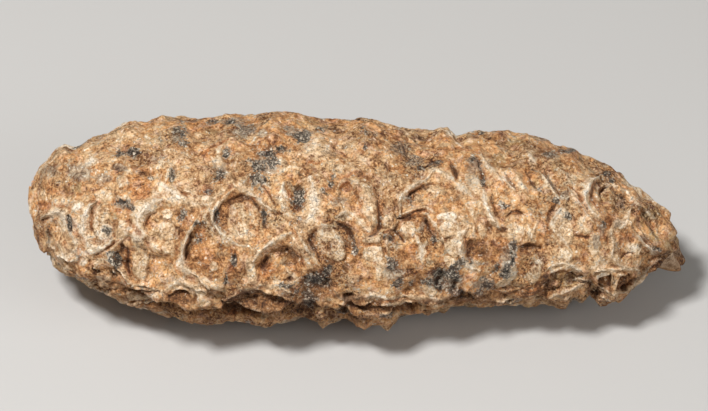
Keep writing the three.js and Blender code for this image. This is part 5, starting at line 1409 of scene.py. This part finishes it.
def coat_grain(s):
    """The fine things: crazing, specks, crackle, soot with painted glints, white painted glints, flecks, and
    painted shade on the underside. Returns the bumps' height, and how shiny the surface is."""
    crazing = s.edge_lines(0.95, 0.06, 0.44, 0.58)
    s.coat(s.times(crazing, 0.22), "crazing")
    brown = s.times(s.step(s.total(s.dots, s.centred(s.mottle, -0.5)), 0.57, 0.66),
                    s.total(0.55, s.times(s.grit, 0.4)))
    s.coat(brown, "brown")
    s.coat(s.times(s.step(s.total(s.dots, s.centred(s.mottle, -0.4)), 0.43, 0.35), 0.45), "light")
    crackle = s.step(s.total(s.attribute("crackle"), s.centred(s.mottle, 1.0)), 0.35, 0.7)
    lines = s.times(crackle, s.edge_lines(1.9, 0.09, 0.4, 0.52))
    s.coat(s.times(crackle, 0.5), "crackle")
    s.coat(s.times(lines, 0.7), "lines")
    soot = s.step(s.total(s.attribute("soot"), s.centred(s.fine, 1.8), s.centred(s.speckle, 0.4),
                          s.centred(s.mottle, 2.4)), 0.38, 0.52)
    # Soot: dark crystals, with painted glints where the speckle is highest.
    glints = s.total(s.speckle, s.centred(s.fine, 1.6))
    s.colour = s.mix(s.times(soot, 0.9), s.colour, s.ramp(glints, SOOT_STOPS, SOOT))
    under = s.attribute("under")
    # Painted glints: scattered white specks, kept off the underside.
    stray = s.times(s.step(s.speckle, 0.95, 0.98), s.step(s.mottle, 0.5, 0.6), s.without(under))
    s.coat(s.times(stray, 0.7), "stray")
    fleck = s.times(s.without(s.step(s.speckle, 0.07, 0.1)), s.step(s.crystal, 0.35, 0.6),
                    s.total(0.2, s.grit))
    s.coat(s.times(fleck, 0.55), "fleck")
    # Painted shade on the underside.
    s.coat(s.times(under, 0.25), "under")
    height = s.total(s.times(s.bumps, s.total(0.2, s.times(s.grit, 0.6))), s.times(s.speckle, s.grit, 0.25),
                     s.times(lines, -0.4), s.times(crazing, -0.2), s.times(brown, -0.3))
    return height, s.math("MAXIMUM", soot, stray)


def stone_material():
    material = bpy.data.materials.new("petrified_cone")
    material.use_nodes = True
    material.node_tree.nodes.clear()
    stone = Stone(material.node_tree)
    coat_body(stone)
    coat_relief(stone)
    height, shiny = coat_grain(stone)
    bump = stone.add("ShaderNodeBump", {"Strength": 1.0, "Distance": BUMP_DEPTH, "Height": height})
    shader = stone.add("ShaderNodeBsdfPrincipled", {
        "Base Color": stone.colour, "Normal": bump.outputs[0],
        "Roughness": stone.math("SUBTRACT", DULL, stone.times(shiny, SHINE))})
    output = stone.add("ShaderNodeOutputMaterial")
    stone.tree.links.new(shader.outputs[0], output.inputs[0])
    return material


# ---- Studio ----------------------------------------------------------------------------------

FLOOR_SIZE, FLOOR_COLOUR, FLOOR_ROUGHNESS = 4, (0.5, 0.49, 0.475, 1), 0.9
WORLD_COLOUR, WORLD_POWER = (1, 0.93, 0.84, 1), 0.15
LIGHT_AIM = (0, 0, 0.01)

# name: (place, size, power)
LIGHTS = {
    "key": ((-0.16, -0.12, 0.43), 0.08, 2.52),
    "fill": ((0.10, -0.45, 0.40), 0.5, 0.35),
    "side": ((0.40, -0.20, 0.22), 0.2, 0.65),
}


def make_floor():
    bpy.ops.mesh.primitive_plane_add(size=FLOOR_SIZE, location=(0, 0, 0))
    floor = bpy.context.object
    floor.name = "floor"
    material = bpy.data.materials.new("floor")
    material.use_nodes = True
    shader = material.node_tree.nodes["Principled BSDF"]
    shader.inputs["Base Color"].default_value = FLOOR_COLOUR
    shader.inputs["Roughness"].default_value = FLOOR_ROUGHNESS
    floor.data.materials.append(material)


def add_light(name, place, size, power):
    data = bpy.data.lights.new(name, "AREA")
    data.size, data.energy = size, power
    light = bpy.data.objects.new(name, data)
    light.location = place
    light.rotation_euler = (Vector(LIGHT_AIM) - Vector(place)).to_track_quat("-Z", "Y").to_euler()
    bpy.context.scene.collection.objects.link(light)


def make_studio():
    make_floor()
    for name, settings in LIGHTS.items():
        add_light(name, *settings)
    world = bpy.data.worlds.new("studio")
    world.use_nodes = True
    background = world.node_tree.nodes["Background"]
    background.inputs[0].default_value = WORLD_COLOUR
    background.inputs[1].default_value = WORLD_POWER
    bpy.context.scene.world = world
    bpy.context.scene.view_settings.view_transform = "Standard"


make_camera()
cone = build_cone()
cone.data.materials.append(stone_material())
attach(cone, "root")
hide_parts(NODE)
make_studio()
